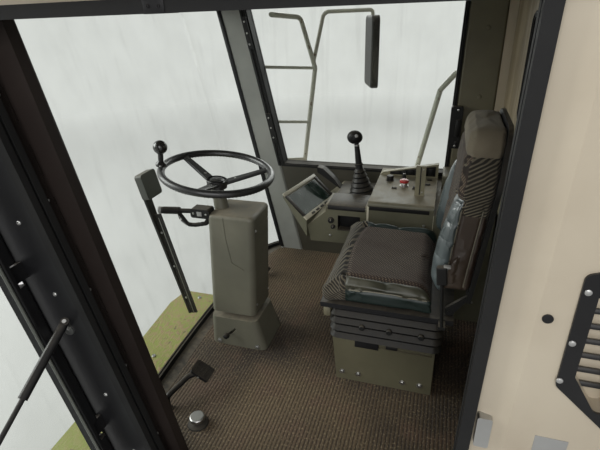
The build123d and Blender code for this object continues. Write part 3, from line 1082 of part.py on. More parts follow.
def spinner_knob():
    """Knob clamped to the rim for steering with one hand."""
    seat = wheel_plane() * Rot(0, 0, KNOB_ANGLE) * Pos(WHEEL_RADIUS, 0, 0)
    foot = RIM_R + NUDGE
    centre = KNOB_HEIGHT - KNOB_BALL
    ball_low = centre - KNOB_BALL * 0.6
    side = Polyline((0, KNOB_HEIGHT), (0, foot), (KNOB_BASE, foot), (KNOB_BASE, foot + KNOB_STEM),
                    (KNOB_STEM, foot + 2 * KNOB_STEM), (KNOB_STEM, ball_low - KNOB_STEM),
                    (KNOB_BALL * 0.8, ball_low))
    side += ThreePointArc((KNOB_BALL * 0.8, ball_low), (KNOB_BALL, centre), (0, KNOB_HEIGHT))
    return seat * revolve(Plane.XZ * make_face(side), axis=Axis.Z)


def column():
    """Tapered shroud of the steering column, its shaft and the tongue that it tilts on."""
    low = Plane(origin=(COLUMN_X_LOW, COLUMN_Y, COLUMN_LOW)) * RectangleRounded(
        COLUMN_LENGTH_LOW, 2 * COLUMN_HALF, COLUMN_ROUND)
    high = Plane(origin=(COLUMN_X_HIGH, COLUMN_Y, COLUMN_TOP)) * RectangleRounded(
        COLUMN_LENGTH_HIGH, 2 * COLUMN_HALF, COLUMN_ROUND)
    shroud = loft([low, high])
    shroud = fillet(shroud.edges().group_by(Axis.Z)[-1], COLUMN_TOP_ROUND)
    shroud -= column_seam()
    x, z = COLUMN_PIVOT
    room = EAR_OFFSET + EAR_WIDTH
    shroud -= block(x - 2 * PIVOT_R - 2, x + 2 * PIVOT_R + 2, COLUMN_Y - room, COLUMN_Y + room,
                    COLUMN_LOW - 1, COLUMN_LOW + PIVOT_R)
    shroud += block(x - PIVOT_R, x + PIVOT_R, COLUMN_Y - TONGUE_HALF, COLUMN_Y + TONGUE_HALF,
                    z, COLUMN_LOW + PIVOT_R + 2)
    shroud += Pos(x, COLUMN_Y, z) * Rot(90, 0, 0) * Cylinder(PIVOT_R, 2 * TONGUE_HALF)
    shroud -= Pos(x, COLUMN_Y, z) * Rot(90, 0, 0) * Cylinder(PIVOT_PIN_R + PIN_PLAY, 2 * COLUMN_HALF)
    wheel = wheel_plane()
    under_hub = wheel * Pos(0, 0, -HUB_DROP - HUB_HEIGHT / 2 - NUDGE)
    collar_low = Plane(origin=(COLLAR_X, COLUMN_Y, COLUMN_TOP - COLLAR_R)) * Circle(COLLAR_R + HINGE_R)
    collar_high = Plane(origin=tuple(under_hub.position), z_dir=wheel.z_dir) * Circle(COLLAR_R)
    shaft = under_hub * upright(SHAFT_R, SHAFT_DEPTH)
    return shroud + loft([collar_low, collar_high]) + shaft


def column_seam():
    """Curved groove between the shroud's two mouldings, on its left face."""
    (x0, x1, x2), (z0, z1, z2) = COLUMN_SEAM, SEAM_HEIGHTS
    plane = Plane(origin=(0, COLUMN_Y + COLUMN_HALF + 1, 0), x_dir=(1, 0, 0), z_dir=(0, -1, 0))
    path = FilletPolyline((x0 + 3, COLUMN_TOP), (x0, z0), (x1, z1), (x2, z2), radius=COLUMN_ROUND / 2)
    return extrude(plane * trace(path, SEAM_WIDTH), amount=SEAM_DEPTH + 1)


def column_base():
    """Flared foot of the steering column: tilt lever's slot, and the ears and pin that the column tilts on."""
    low = Plane(origin=(BASE_X, COLUMN_Y, MAT_TOP)) * RectangleRounded(BASE_LENGTH, BASE_WIDTH, BASE_ROUND)
    high = Plane(origin=(COLUMN_X_LOW, COLUMN_Y, BASE_TOP)) * RectangleRounded(
        NECK_LENGTH, NECK_WIDTH, BASE_ROUND)
    x, z = COLUMN_PIVOT
    base = loft([low, high])
    face = COLUMN_Y + BASE_WIDTH / 2
    slot = [(TILT_SLOT[0], TILT_SLOT_HIGH), (TILT_SLOT[0], TILT_SLOT_HIGH - TILT_SLOT_WIDTH),
            (TILT_SLOT[1], TILT_SLOT_LOW), (TILT_SLOT[1], TILT_SLOT_LOW + TILT_SLOT_WIDTH)]
    base -= side_plate(slot, face - 2 * TILT_SLOT_DEPTH, face + 1)
    for y in (COLUMN_Y - EAR_OFFSET, COLUMN_Y + EAR_OFFSET):
        base += block(x - PIVOT_R, x + PIVOT_R, y - EAR_WIDTH / 2, y + EAR_WIDTH / 2, BASE_TOP - 2, z)
        base += Pos(x, y, z) * Rot(90, 0, 0) * Cylinder(PIVOT_R, EAR_WIDTH)
    return base + Pos(x, COLUMN_Y, z) * Rot(90, 0, 0) * Cylinder(PIVOT_PIN_R, 2 * EAR_OFFSET + EAR_WIDTH)


def seat_base():
    """Steel box that carries the seat, tapered at the front, with a groove in its side."""
    outline = [(SEAT_BASE_REAR, MAT_TOP), (SEAT_BASE_FRONT - SEAT_BASE_TAPER, MAT_TOP),
               (SEAT_BASE_FRONT, SUSPENSION_LOW), (SEAT_BASE_REAR, SUSPENSION_LOW)]
    base = side_plate(outline, SEAT_Y - SEAT_BASE_HALF, SEAT_Y + SEAT_BASE_HALF)
    base = fillet(base.edges().filter_by(Axis.Y).group_by(Axis.X)[-1], 2 * BASE_GROOVE_DEPTH)
    for side in (-1, 1):
        y = SEAT_Y + side * SEAT_BASE_HALF
        base -= block(*BASE_GROOVE, y - BASE_GROOVE_DEPTH, y + BASE_GROOVE_DEPTH, BASE_GROOVE_Z,
                      BASE_GROOVE_Z + BASE_GROOVE_HEIGHT)
    return base


def suspension():
    """Black pleated bellows round the seat suspension."""
    middle, length = (BELLOWS_FRONT + BELLOWS_REAR) / 2, BELLOWS_FRONT - BELLOWS_REAR
    pitch = (SUSPENSION_TOP - SUSPENSION_LOW) / PLEATS
    sections = []
    for index in range(2 * PLEATS + 1):
        inset = PLEAT_DEPTH * (index % 2)
        plane = Plane(origin=(middle, SEAT_Y, SUSPENSION_LOW + pitch * index / 2))
        sections.append(plane * RectangleRounded(
            length - 2 * inset, 2 * (BELLOWS_HALF - inset), PLEAT_ROUND - inset))
    return loft(sections, ruled=True)


def seat_pan():
    """Slide rails and the pan under the cushion, with the lugs and pins of the recline hinge."""
    low = SUSPENSION_TOP + NUDGE
    pan = block(SEAT_FRONT - PAN_IN, SEAT_REAR - PAN_PAST, SEAT_Y - PAN_HALF, SEAT_Y + PAN_HALF,
                low, CUSHION_LOW)
    x, z = RECLINE_PIVOT
    for side in (-1, 1):
        y = SEAT_Y + side * (EAR_Y - EAR_THICK / 2 - EAR_GAP - LUG_THICK / 2)
        pan += block(x - LUG_R, x + LUG_R, y - LUG_THICK / 2, y + LUG_THICK / 2, CUSHION_LOW - 1, z)
        pan += Pos(x, y, z) * Rot(90, 0, 0) * Cylinder(LUG_R, LUG_THICK)
        pan += Pos(x, SEAT_Y + side * (EAR_Y - 2), z) * Rot(90, 0, 0) * Cylinder(RECLINE_PIN_R, EAR_THICK + 8)
    return pan


def seat_cushion():
    """Seat cushion with a rounded nose."""
    low, front = CUSHION_LOW + NUDGE, SEAT_FRONT
    top = CUSHION_TOP
    outline = [(front - CUSHION_FALL / 2, low), (front, low + CUSHION_FALL), (front, top - CUSHION_NOSE),
               (front - CUSHION_NOSE, top), (CUSHION_REAR + 3 * CUSHION_FALL, top - CUSHION_FALL / 2),
               (CUSHION_REAR + CUSHION_FALL, top - CUSHION_FALL), (CUSHION_REAR, low)]
    return side_plate(outline, SEAT_Y - SEAT_HALF, SEAT_Y + SEAT_HALF)


def back_front(inset):
    """Front view of the backrest, as a solid: wide at the hips, narrower and rounded at the head."""
    plane = Plane(origin=(-REACH, SEAT_Y, 0), x_dir=(0, 1, 0), z_dir=(1, 0, 0))
    half, head, top = BACK_HALF - inset, HEAD_HALF - inset, BACK_TOP - inset
    outline = Polyline((-half, 0), (half, 0), (half, SHOULDER_Z), (head, top), (-head, top),
                       (-half, SHOULDER_Z), close=True)
    face = make_face(outline)
    face = fillet(face.vertices().filter_by_position(Axis.Y, SHOULDER_Z - 1, REACH), BACK_CORNER)
    return extrude(plane * face, amount=2 * REACH)


def backrest_pad():
    """Padded front of the backrest."""
    lean = BACK_LEAN * (BACK_TOP - BACK_LOW)
    rear = BACK_FRONT - BACK_DEPTH
    outline = [(BACK_FRONT, BACK_LOW), (BACK_FRONT - lean, BACK_TOP),
               (rear - lean, BACK_TOP), (rear, BACK_LOW)]
    return side_plate(outline, SEAT_Y - BACK_HALF, SEAT_Y + BACK_HALF) & back_front(0)


def backrest_shell():
    """Back panel behind the pad, with ears down to the recline pivot."""
    lean = BACK_LEAN * (BACK_TOP - BACK_LOW)
    front = BACK_FRONT - BACK_DEPTH - NUDGE
    thick = SHELL_THICK
    outline = [(front, BACK_LOW), (front - lean, BACK_TOP), (front - thick - lean, BACK_TOP),
               (front - thick, BACK_LOW - 2 * SHELL_IN), (front, BACK_LOW - 2 * SHELL_IN)]
    shell = side_plate(outline, SEAT_Y - BACK_HALF, SEAT_Y + BACK_HALF) & back_front(SHELL_IN)
    x, z = RECLINE_PIVOT
    for side in (-1, 1):
        y = SEAT_Y + side * EAR_Y
        ear = side_plate([(front - thick, BACK_LOW), (front, BACK_LOW), (x + RECLINE_R, z + LUG_R),
                          (x + RECLINE_R, z), (x - RECLINE_R, z)], y - EAR_THICK / 2, y + EAR_THICK / 2)
        ear += Pos(x, y, z) * Rot(90, 0, 0) * Cylinder(RECLINE_R, EAR_THICK)
        shell += ear - Pos(x, y, z) * Rot(90, 0, 0) * Cylinder(RECLINE_PIN_R + PIN_PLAY, 2 * EAR_THICK)
    return shell


windscreen_glass, windscreen_channel = windscreen()
side_glass, side_channel = right_window()
rear_glass, rear_channel = rear_window()

parts["floor_frame"] = floor_frame()
parts["mount_pads"] = mount_pads()
parts["windscreen_glass"] = windscreen_glass
parts["right_window_glass"] = side_glass
parts["rear_window_glass"] = rear_glass
parts["window_seals"] = windscreen_channel + side_channel + rear_channel
parts["a_pillar_left"] = a_pillar(1)
parts["a_pillar_right"] = a_pillar(-1)
parts["a_post_trim_left"] = a_post_trim()
parts["b_pillar_left"] = rear_pillar(1, B_FRONT_X, B_WIDTH, True)
parts["c_pillar_right"] = rear_pillar(-1, C_FRONT_X, C_WIDTH, False)
parts["quarter_panel_left"] = quarter_panel(1, B_FRONT_X - B_WIDTH) - service_opening()
parts["quarter_panel_right"] = quarter_panel(-1, C_FRONT_X - C_WIDTH)
parts["vent_plate"] = vent_plate()
parts["door_sill"] = sill()
parts["right_panel"] = right_panel()
parts["rear_wall"] = rear_wall()
parts["rear_lining"], parts["rear_trim"] = rear_lining()
parts["floor_mat"] = floor_mat()
parts["front_ledge"] = front_ledge()

parts["roof_frame"] = roof_frame()
parts["headliner"] = headliner()
parts["roof_shell"] = roof_shell()
parts["work_lamps"] = work_lamps()

parts["door_frame"] = door_frame()
parts["door_glass"] = door_glass()
parts["door_hinges"] = door_hinges()
parts["door_handles"] = door_handle()
parts["door_latch"] = door_latch()
parts["door_seal"] = door_seal()
parts["stay_tube"], parts["stay_rod"], parts["stay_door_stud"], parts["stay_pillar_stud"] = door_stay()

parts["steering_wheel"] = steering_wheel()
parts["spinner_knob"] = spinner_knob()
parts["column_shroud"] = column()
parts["column_stalk"] = stalk()
parts["column_base"] = column_base()
parts["pedals"] = pedals()
parts["foot_switch"] = foot_switch()

parts["seat_base"] = seat_base()
parts["seat_suspension"] = suspension()
parts["seat_pan"] = seat_pan()
parts["seat_cushion"] = seat_cushion()
parts["backrest_pad"] = backrest_pad()
parts["backrest_shell"] = backrest_shell()
parts["belt_buckle"] = belt_buckle()

parts["console_front"] = console_front()
parts["console_cabinet"] = console_cabinet()
parts["switch_panel"] = switch_panel()
parts["drive_lever"] = lever()
parts["monitor"] = monitor()

parts["window_latch"] = latch_box()
parts["grab_rail"] = grab_rail()
parts["mirror_mast"] = mirror_mast()
parts["mirror_head"] = mirror_head()
parts["wiper_motor"], parts["wiper_arm"] = wiper()

os.makedirs("parts", exist_ok=True)
for name, shape in parts.items():
    export_step(shape, f"parts/{name}.step")
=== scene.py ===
from itertools import product
from math import cos, pi, radians, sin

import bmesh
import bpy
from mathutils import Matrix, Vector, noise


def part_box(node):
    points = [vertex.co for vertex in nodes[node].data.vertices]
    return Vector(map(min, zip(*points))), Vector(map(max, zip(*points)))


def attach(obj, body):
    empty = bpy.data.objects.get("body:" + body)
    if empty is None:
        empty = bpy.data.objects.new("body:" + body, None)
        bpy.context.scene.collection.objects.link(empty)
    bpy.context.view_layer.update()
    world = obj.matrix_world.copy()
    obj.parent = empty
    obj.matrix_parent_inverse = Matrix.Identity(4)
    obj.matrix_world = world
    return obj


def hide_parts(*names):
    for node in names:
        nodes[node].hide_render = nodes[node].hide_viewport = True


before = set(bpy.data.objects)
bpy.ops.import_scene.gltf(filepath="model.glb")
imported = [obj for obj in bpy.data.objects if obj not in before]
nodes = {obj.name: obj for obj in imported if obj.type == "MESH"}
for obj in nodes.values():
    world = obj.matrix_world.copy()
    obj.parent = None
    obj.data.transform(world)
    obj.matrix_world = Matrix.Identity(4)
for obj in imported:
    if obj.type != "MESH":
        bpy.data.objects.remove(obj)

FORWARD, LEFT, RIGHT, UP = (1, 0, 0), (0, 1, 0), (0, -1, 0), (0, 0, 1)
MAT_TOP = 0.2
DRIVER_Y = 0.06
scene = bpy.context.scene
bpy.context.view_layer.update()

# Camera and studio. The photographer stood outside the open door on the driver's left and looked
# down into the cab, with a wide lens. Three wide soft lamps light it from the door's side, from
# ahead of the windscreen and from behind the right window, over a pale floor.
scene.view_settings.view_transform = "Standard"
SURROUND = (0.78, 0.78, 0.77)
CAMERA_PLACE = (-0.334, 1.475, 1.467)

camera_data = bpy.data.cameras.new("camera")
camera_data.lens = 27.0
camera_data.sensor_width = 36.0
camera_data.sensor_fit = "HORIZONTAL"
camera_data.clip_start = 0.02
camera_data.clip_end = 60.0
camera = bpy.data.objects.new("camera", camera_data)
scene.collection.objects.link(camera)
look = Vector((0.2837, -0.8540, -0.4360)).normalized()
right = Vector((-0.9539, -0.2976, -0.0378)).normalized()
up = right.cross(look)
right = look.cross(up)
camera.matrix_world = Matrix.Translation(CAMERA_PLACE) @ Matrix((right, up, -look)).transposed().to_4x4()
scene.camera = camera

world = bpy.data.worlds.new("surround")
scene.world = world
world.use_nodes = True
sky = world.node_tree
sky.nodes["Background"].inputs["Color"].default_value = (0.93, 0.94, 0.96, 1)
sky.nodes["Background"].inputs["Strength"].default_value = 0.26
seen = sky.nodes.new("ShaderNodeBackground")
seen.inputs["Color"].default_value = (*SURROUND, 1)
ray = sky.nodes.new("ShaderNodeLightPath")
straight = ray.outputs["Is Camera Ray"]
for kind in ("Is Transmission Ray", "Is Glossy Ray"):
    either = sky.nodes.new("ShaderNodeMath")
    either.operation = "MAXIMUM"
    sky.links.new(straight, either.inputs[0])
    sky.links.new(ray.outputs[kind], either.inputs[1])
    straight = either.outputs[0]
blend = sky.nodes.new("ShaderNodeMixShader")
sky.links.new(straight, blend.inputs[0])
sky.links.new(sky.nodes["Background"].outputs[0], blend.inputs[1])
sky.links.new(seen.outputs[0], blend.inputs[2])
sky.links.new(blend.outputs[0], sky.nodes["World Output"].inputs[0])


def softbox(name, place, target, width, height, watts):
    """Adds a wide soft lamp that looks at a target."""
    lamp = bpy.data.lights.new(name, "AREA")
    lamp.shape = "RECTANGLE"
    lamp.size, lamp.size_y = width, height
    lamp.energy = watts
    lit = bpy.data.objects.new(name, lamp)
    lit.location = place
    lit.rotation_mode = "QUATERNION"
    lit.rotation_quaternion = (Vector(target) - Vector(place)).to_track_quat("-Z", "Y")
    scene.collection.objects.link(lit)


softbox("front_lamp", (4.2, 0.8, 2.6), (0.2, 0, 0.9), 3.2, 2.4, 210)
softbox("door_lamp", (-0.6, 4.0, 2.8), (0, 0, 0.8), 3.0, 2.4, 88)
softbox("right_lamp", (0.2, -4.0, 2.4), (0, 0, 0.9), 3.0, 2.2, 75)

# Floor frame and its four rubber mounts. The frame is a welded ring and cross members in black
# paint. Each mount is a waisted block of rubber vulcanised between two steel plates, with a bolt
# and washer through it, and hexagon bolts hold its foot to the machine.


class Wire:
    """A socket in a material's node tree, on which sums are written as in plain Python."""

    def __init__(self, tree, socket=None):
        self.tree, self.socket = tree, socket

    def node(self, kind, settings=None, out=0, **inputs):
        """Adds a node: its settings first, then the values or links of its sockets."""
        made = self.tree.nodes.new("ShaderNode" + kind)
        for key, value in (settings or {}).items():
            if key == "stops":
                ramp = made.color_ramp.elements
                while len(ramp) < len(value):
                    ramp.new(0.5)
                for stop, (place, colour) in zip(ramp, value):
                    stop.position = place
                    stop.color = (*colour, 1) if hasattr(colour, "__len__") else (colour,) * 3 + (1,)
            else:
                setattr(made, key, value)
        for key, value in inputs.items():
            socket = made.inputs[int(key[1:])] if key[1:].isdigit() else made.inputs[key.replace("_", " ")]
            if isinstance(value, Wire):
                self.tree.links.new(value.socket, socket)
            elif socket.type == "RGBA" and len(value) == 3:
                socket.default_value = (*value, 1)
            else:
                socket.default_value = value
        return Wire(self.tree, made.outputs[out])

    def math(self, operation, a, b=0.0):
        return self.node("Math", {"operation": operation}, i0=a, i1=b)

    def __add__(self, other):
        return self.math("ADD", self, other)

    def __sub__(self, other):
        return self.math("SUBTRACT", self, other)

    def __rsub__(self, other):
        return self.math("SUBTRACT", other, self)

    def __mul__(self, other):
        return self.math("MULTIPLY", self, other)

    __radd__, __rmul__ = __add__, __mul__

    def spot(self, stretch=(1, 1, 1)):
        """The place on the piece, stretched."""
        return self.node("Mapping", Vector=self.node("TexCoord", out="Object"), Scale=stretch)

    def along(self, direction):
        """Distance of a point along a direction, in metres."""
        return self.node("VectorMath", {"operation": "DOT_PRODUCT"}, out="Value", i0=self.spot(), i1=direction)

    def wave(self, direction, pitch, bend=0.0):
        """Bands from 0 to 1 across a direction, a pitch apart, a little uneven."""
        place = self.along(direction)
        if bend:
            place = place + self.noise(14.0, 2.0) * bend
        return self.math("SINE", place * (2 * pi / pitch)) * 0.5 + 0.5

    def noise(self, scale, detail=3.0, stretch=(1, 1, 1)):
        """Noise on the object's own coordinates, in waves per metre."""
        return self.node("TexNoise", Vector=self.spot(stretch), Scale=scale, Detail=detail)

    def ramp(self, value, *stops):
        """The value run through a colour ramp of (place, grey or colour) stops."""
        return self.node("ValToRGB", {"stops": stops}, Fac=value)

    def patches(self, scale, detail, low, high, stretch=(1, 1, 1)):
        """Noise spread from 0 at its low level to 1 at its high one."""
        return self.ramp(self.noise(scale, detail, stretch), (low, 0.0), (high, 1.0))

    def tint(self, share, first, second):
        """Mixes two colours by a share."""
        return self.node("Mix", {"data_type": "RGBA"}, out=2, i0=share, i6=first, i7=second)

    def up_facing(self, sharp=2.0):
        """1 on surfaces that face up, where dust settles."""
        facing = self.node("SeparateXYZ", out=2, Vector=self.node("NewGeometry", out="Normal"))
        return self.math("POWER", self.math("MAXIMUM", facing, 0.0), sharp)

    def bump(self, height, strength, deep):
        return self.node("Bump", Height=height, Strength=strength, Distance=deep)


def material(name):
    """A new material with its principled shader."""
    made = bpy.data.materials.new(name)
    made.use_nodes = True
    return made, Wire(made.node_tree), made.node_tree.nodes["Principled BSDF"]


def put(wire, shader, **inputs):
    """Sets or links the shader's sockets."""
    for key, value in inputs.items():
        socket = shader.inputs[key.replace("_", " ")]
        if isinstance(value, Wire):
            wire.tree.links.new(value.socket, socket)
        elif socket.type == "RGBA":
            socket.default_value = (*value, 1)
        else:
            socket.default_value = value


DUST = (0.30, 0.25, 0.18)
DARK = 0.05


def coated(name, colour, rough, grain=0.0, grain_scale=900.0, dust=0.4, shift=0.12, metal=0.0, coat=0.0):
    """A hard finish: slightly uneven colour, fine grain, rubbed patches and dust on what faces up."""
    made, wire, shader = material(name)
    patches = wire.noise(5.0, 5.0)
    speckle = wire.noise(60.0, 4.0)
    darker = tuple(c * (1 - shift) for c in colour)
    lighter = tuple(min(1.0, c * (1 + shift)) for c in colour)
    base = wire.tint(wire.ramp(patches, (0.35, 0.0), (0.65, 1.0)), darker, lighter)
    settled = wire.up_facing() * wire.ramp(speckle * 0.4 + patches * 0.6, (0.38, 0.25), (0.62, 1.0)) * dust
    dark = max(colour) <= DARK
    film = wire.patches(2.5, 6.0, 0.45, 0.75) * ((0.05 if dark else 0.18) * dust)
    settled = wire.math("MAXIMUM", settled, film)
    put(wire, shader, Base_Color=wire.tint(settled, base, DUST),
        Roughness=wire.math("MINIMUM", settled * 0.4 + speckle * 0.14 + (rough - 0.07), 1.0), Metallic=metal)
    shader.inputs["Coat Weight"].default_value = coat
    shader.inputs["Specular IOR Level"].default_value = 0.2 if dark else 0.5
    if grain:
        put(wire, shader, Normal=wire.bump(wire.noise(grain_scale, 2.0), grain, 0.0006))
    return made


def finish(piece, *finishes):
    """Gives a piece its materials."""
    piece.data.materials.clear()
    for each in finishes:
        piece.data.materials.append(each)


def dress(look, *names):
    """Gives CAD pieces one finish."""
    for name in names:
        finish(nodes[name], look)


class Form:
    """Mesh of one piece in metres. Shapes are added one by one, each with its finish's number."""

    def __init__(self):
        self.mesh = bmesh.new()

    def paint(self, old, index):
        for face in self.mesh.faces:
            if face not in old:
                face.material_index = index

    def soften(self, edges, soft, segments=2):
        bmesh.ops.bevel(self.mesh, geom=edges, offset=soft, segments=segments, affect="EDGES", profile=0.5,
                        material=-1)

    def box(self, a, b, soft=0.0, index=0, turn=None):
        """Block between two corners with softened edges, turned about its middle."""
        old = set(self.mesh.faces)
        middle, size = (Vector(a) + Vector(b)) / 2, Vector(b) - Vector(a)
        place = Matrix.Translation(middle) @ (turn or Matrix()) @ Matrix.Diagonal((*size, 1))
        new = bmesh.ops.create_cube(self.mesh, size=1, matrix=place)["verts"]
        if soft:
            self.soften(list({edge for vert in new for edge in vert.link_edges}), soft)
        self.paint(old, index)

    def rod(self, a, b, radius, tip=None, soft=0.0, index=0, sides=24):
        """Round bar or cone from one point to another, with softened ends."""
        old = set(self.mesh.faces)
        a, b = Vector(a), Vector(b)
        place = Matrix.Translation((a + b) / 2) @ (b - a).to_track_quat("Z", "Y").to_matrix().to_4x4()
        new = bmesh.ops.create_cone(self.mesh, cap_ends=True, segments=sides, radius1=radius,
                                    radius2=radius if tip is None else tip, depth=(b - a).length,
                                    matrix=place)["verts"]
        if soft:
            caps = [face for face in {f for v in new for f in v.link_faces} if len(face.verts) == sides]
            self.soften(list({edge for face in caps for edge in face.edges}), soft)
        self.paint(old, index)

    def turned(self, profile, at, out, index=0, steps=32):
        """Profile of (radius, height) points spun round an axis that stands at a point."""
        old = set(self.mesh.faces)
        turn = Vector(out).to_track_quat("Z", "Y")
        verts = [self.mesh.verts.new(Vector(at) + turn @ Vector((r, 0, h))) for r, h in profile]
        edges = [self.mesh.edges.new(pair) for pair in zip(verts, verts[1:])]
        bmesh.ops.spin(self.mesh, geom=verts + edges, cent=at, axis=turn @ Vector(UP), angle=2 * pi,
                       steps=steps, use_merge=True)
        self.paint(old, index)

    def plate(self, outline, thick, soft=0.0, index=0):
        """Flat outline of points in space, thickened along a vector."""
        old = set(self.mesh.faces)
        face = self.mesh.faces.new([self.mesh.verts.new(point) for point in outline])
        grown = bmesh.ops.extrude_face_region(self.mesh, geom=[face])["geom"]
        verts = [each for each in grown if isinstance(each, bmesh.types.BMVert)]
        bmesh.ops.translate(self.mesh, verts=verts, vec=thick)
        if soft:
            rim = list({edge for vert in verts for edge in vert.link_edges})
            self.soften(rim, soft)
        self.paint(old, index)

    def tube(self, points, radius, index=0, sides=10, closed=False):
        """Round bar along points, its ring carried on without twist."""
        old = set(self.mesh.faces)
        points = [Vector(point) for point in points]
        count = len(points)
        rings, side = [], None
        for step, point in enumerate(points):
            if closed:
                ahead = (points[(step + 1) % count] - points[step - 1]).normalized()
            else:
                ahead = (points[min(step + 1, count - 1)] - points[max(step - 1, 0)]).normalized()
            side = ahead.orthogonal() if side is None else side - ahead * side.dot(ahead)
            side.normalize()
            other = ahead.cross(side)
            place = Matrix.LocRotScale(point, Matrix((side, other, ahead)).transposed(), None)
            ring = bmesh.ops.create_circle(self.mesh, segments=sides, matrix=place,
                                           radius=radius[step] if hasattr(radius, "__len__") else radius,
                                           cap_ends=not closed and step in (0, count - 1))["verts"]
            rings.append(list({edge for vert in ring for edge in vert.link_edges}))
        for first, second in zip(rings, rings[1:] + (rings[:1] if closed else [])):
            bmesh.ops.bridge_loops(self.mesh, edges=first + second)
        self.paint(old, index)

    def screw(self, at, out, radius=0.006, index=0, sides=20):
        """Domed head with a socket in it, standing on a surface."""
        self.turned([(radius, -0.0004), (radius, radius * 0.35), (radius * 0.8, radius * 0.6),
                     (radius * 0.5, radius * 0.68), (radius * 0.42, radius * 0.3), (0, radius * 0.28)],
                    at, out, index, sides)

    def bolt(self, at, out, radius=0.012, index=0):
        """Hexagon head on a washer."""
        self.turned([(radius * 1.5, -0.0004), (radius * 1.5, radius * 0.2), (radius, radius * 0.22)], at, out,
                    index, 24)
        self.turned([(radius, radius * 0.2), (radius, radius * 0.75), (radius * 0.8, radius * 0.88),
                     (0, radius * 0.88)], at, out, index, 6)

    def make(self, name, body, slot, *finishes, smooth=35.0):
        """Turns the mesh into an object that rides on a body."""
        bmesh.ops.remove_doubles(self.mesh, verts=self.mesh.verts, dist=0.00002)
        bmesh.ops.recalc_face_normals(self.mesh, faces=self.mesh.faces)
        data = bpy.data.meshes.new(name)
        self.mesh.to_mesh(data)
        self.mesh.free()
        data.shade_smooth()
        data.set_sharp_from_angle(angle=radians(smooth))
        piece = bpy.data.objects.new(name, data)
        scene.collection.objects.link(piece)
        for each in finishes:
            data.materials.append(each)
        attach(piece, body)
        return piece


chassis_black = coated("chassis_black", (0.022, 0.022, 0.022), 0.45, 0.1, 300.0, 0.5)
rubber = coated("rubber", (0.012, 0.012, 0.012), 0.60, 0.2, 500.0, 0.25)
steel = coated("steel", (0.45, 0.45, 0.44), 0.32, 0.05, 300.0, 0.2, metal=1.0)
dress(chassis_black, "floor_frame")
dress(rubber, "mount_pads")
hardware = Form()
for x, y in product((-0.48, 0.48), (-0.56, 0.56)):
    for dx, dy in product((-0.048, 0.048), repeat=2):
        hardware.bolt((x + dx, y + dy, 0.008), UP, 0.005)
    hardware.turned([(0.0505, 0.061), (0.0505, 0.068), (0.040, 0.0695), (0.0, 0.0695)], (x, y, 0), UP)
hardware.make("mount_bolts", "cab", "steel", steel)

# Ledge in front of the cab. A folded steel shelf in yellow-green paint, chipped at its lip and
# covered in chaff, screwed to its webs with pan-head screws.
ledge_green, wire, shader = material("ledge_green")
drift = wire.ramp(wire.noise(3.2, 4.0), (0.40, 0.30), (0.54, 1.0))
chaff = wire.patches(130.0, 5.0, 0.46, 0.56, (1, 0.35, 1)) * wire.up_facing(3.0) * drift
chips = wire.patches(38.0, 7.0, 0.66, 0.68)
paint = wire.tint(wire.noise(4.0, 6.0), (0.20, 0.23, 0.045), (0.30, 0.33, 0.075))
paint = wire.tint(chips * 0.7, paint, (0.10, 0.07, 0.05))
put(wire, shader, Base_Color=wire.tint(chaff * 0.85, paint, (0.36, 0.25, 0.15)), Roughness=chaff * 0.4 + 0.42,
    Normal=wire.bump(chaff, 0.5, 0.002))
dress(ledge_green, "front_ledge")
ledge_screws = Form()
for x, y in ((0.600, 0.70), (0.70, 0.60), (0.60, 0.245), (0.76, 0.25), (0.60, -0.18), (0.78, -0.19)):
    ledge_screws.screw((x, y, 0.1402), UP, 0.009)
ledge_screws.make("ledge_screws", "cab", "steel", steel)

# Floor mat. Moulded brown rubber with fine ribs from side to side, worn smooth and pale where feet
# rest, with dust and chaff trodden into it.
mat_rubber, wire, shader = material("mat_rubber")
ribs = wire.ramp(wire.wave(FORWARD, 0.0125, 0.0008), (0.25, 0.0), (0.55, 1.0))
worn = wire.patches(2.2, 5.0, 0.40, 0.66)
grit = wire.patches(240.0, 3.0, 0.56, 0.66, (1, 0.5, 1))
mat_colour = wire.tint(worn, (0.030, 0.020, 0.013), (0.125, 0.086, 0.046))
mat_colour = wire.tint(wire.ramp(wire.noise(9.0, 5.0), (0.5, 0.0), (0.72, 0.75)), mat_colour, (0.11, 0.060, 0.040))
# The grooves between the ribs are coloured near black: painted shade.
mat_colour = wire.tint((1.0 - ribs) * 0.62, mat_colour, (0.014, 0.010, 0.008))
put(wire, shader, Base_Color=wire.tint(grit * wire.noise(3.0) * 0.9, mat_colour, (0.34, 0.27, 0.16)),
    Roughness=0.85 - ribs * 0.22, Normal=wire.bump(ribs + grit * 0.3, 0.9, 0.0022))
dress(mat_rubber, "floor_mat")

# Door sill. A black step-over rail of folded steel with an aluminium tread strip screwed on it.
dress(chassis_black, "door_sill")
sill_strip = Form()
sill_strip.box((-0.425, 0.706, 0.2300), (0.372, 0.730, 0.2318), 0.0006)
for step in range(9):
    sill_strip.screw((-0.41 + step * 0.0965, 0.718, 0.2317), UP, 0.0045)
for step in range(4):
    sill_strip.box((-0.424, 0.7085 + step * 0.005, 0.2317), (0.371, 0.7105 + step * 0.005, 0.2325), 0.0003)
sill_strip.make("sill_strip", "cab", "steel", steel)


RAKE = 0.2


def raked(x, z):
    """X of a line that leans with the windscreen, from its place on the mat's level."""
    return x + RAKE * (z - MAT_TOP)


def raked_bar(form, x0, x1, y0, y1, z0, z1, soft, index=0):
    """Bar that leans with the windscreen."""
    form.plate([(raked(x0, z0), y0, z0), (raked(x1, z0), y0, z0), (raked(x1, z1), y0, z1),
                (raked(x0, z1), y0, z1)], (0, y1 - y0, 0), soft, index)


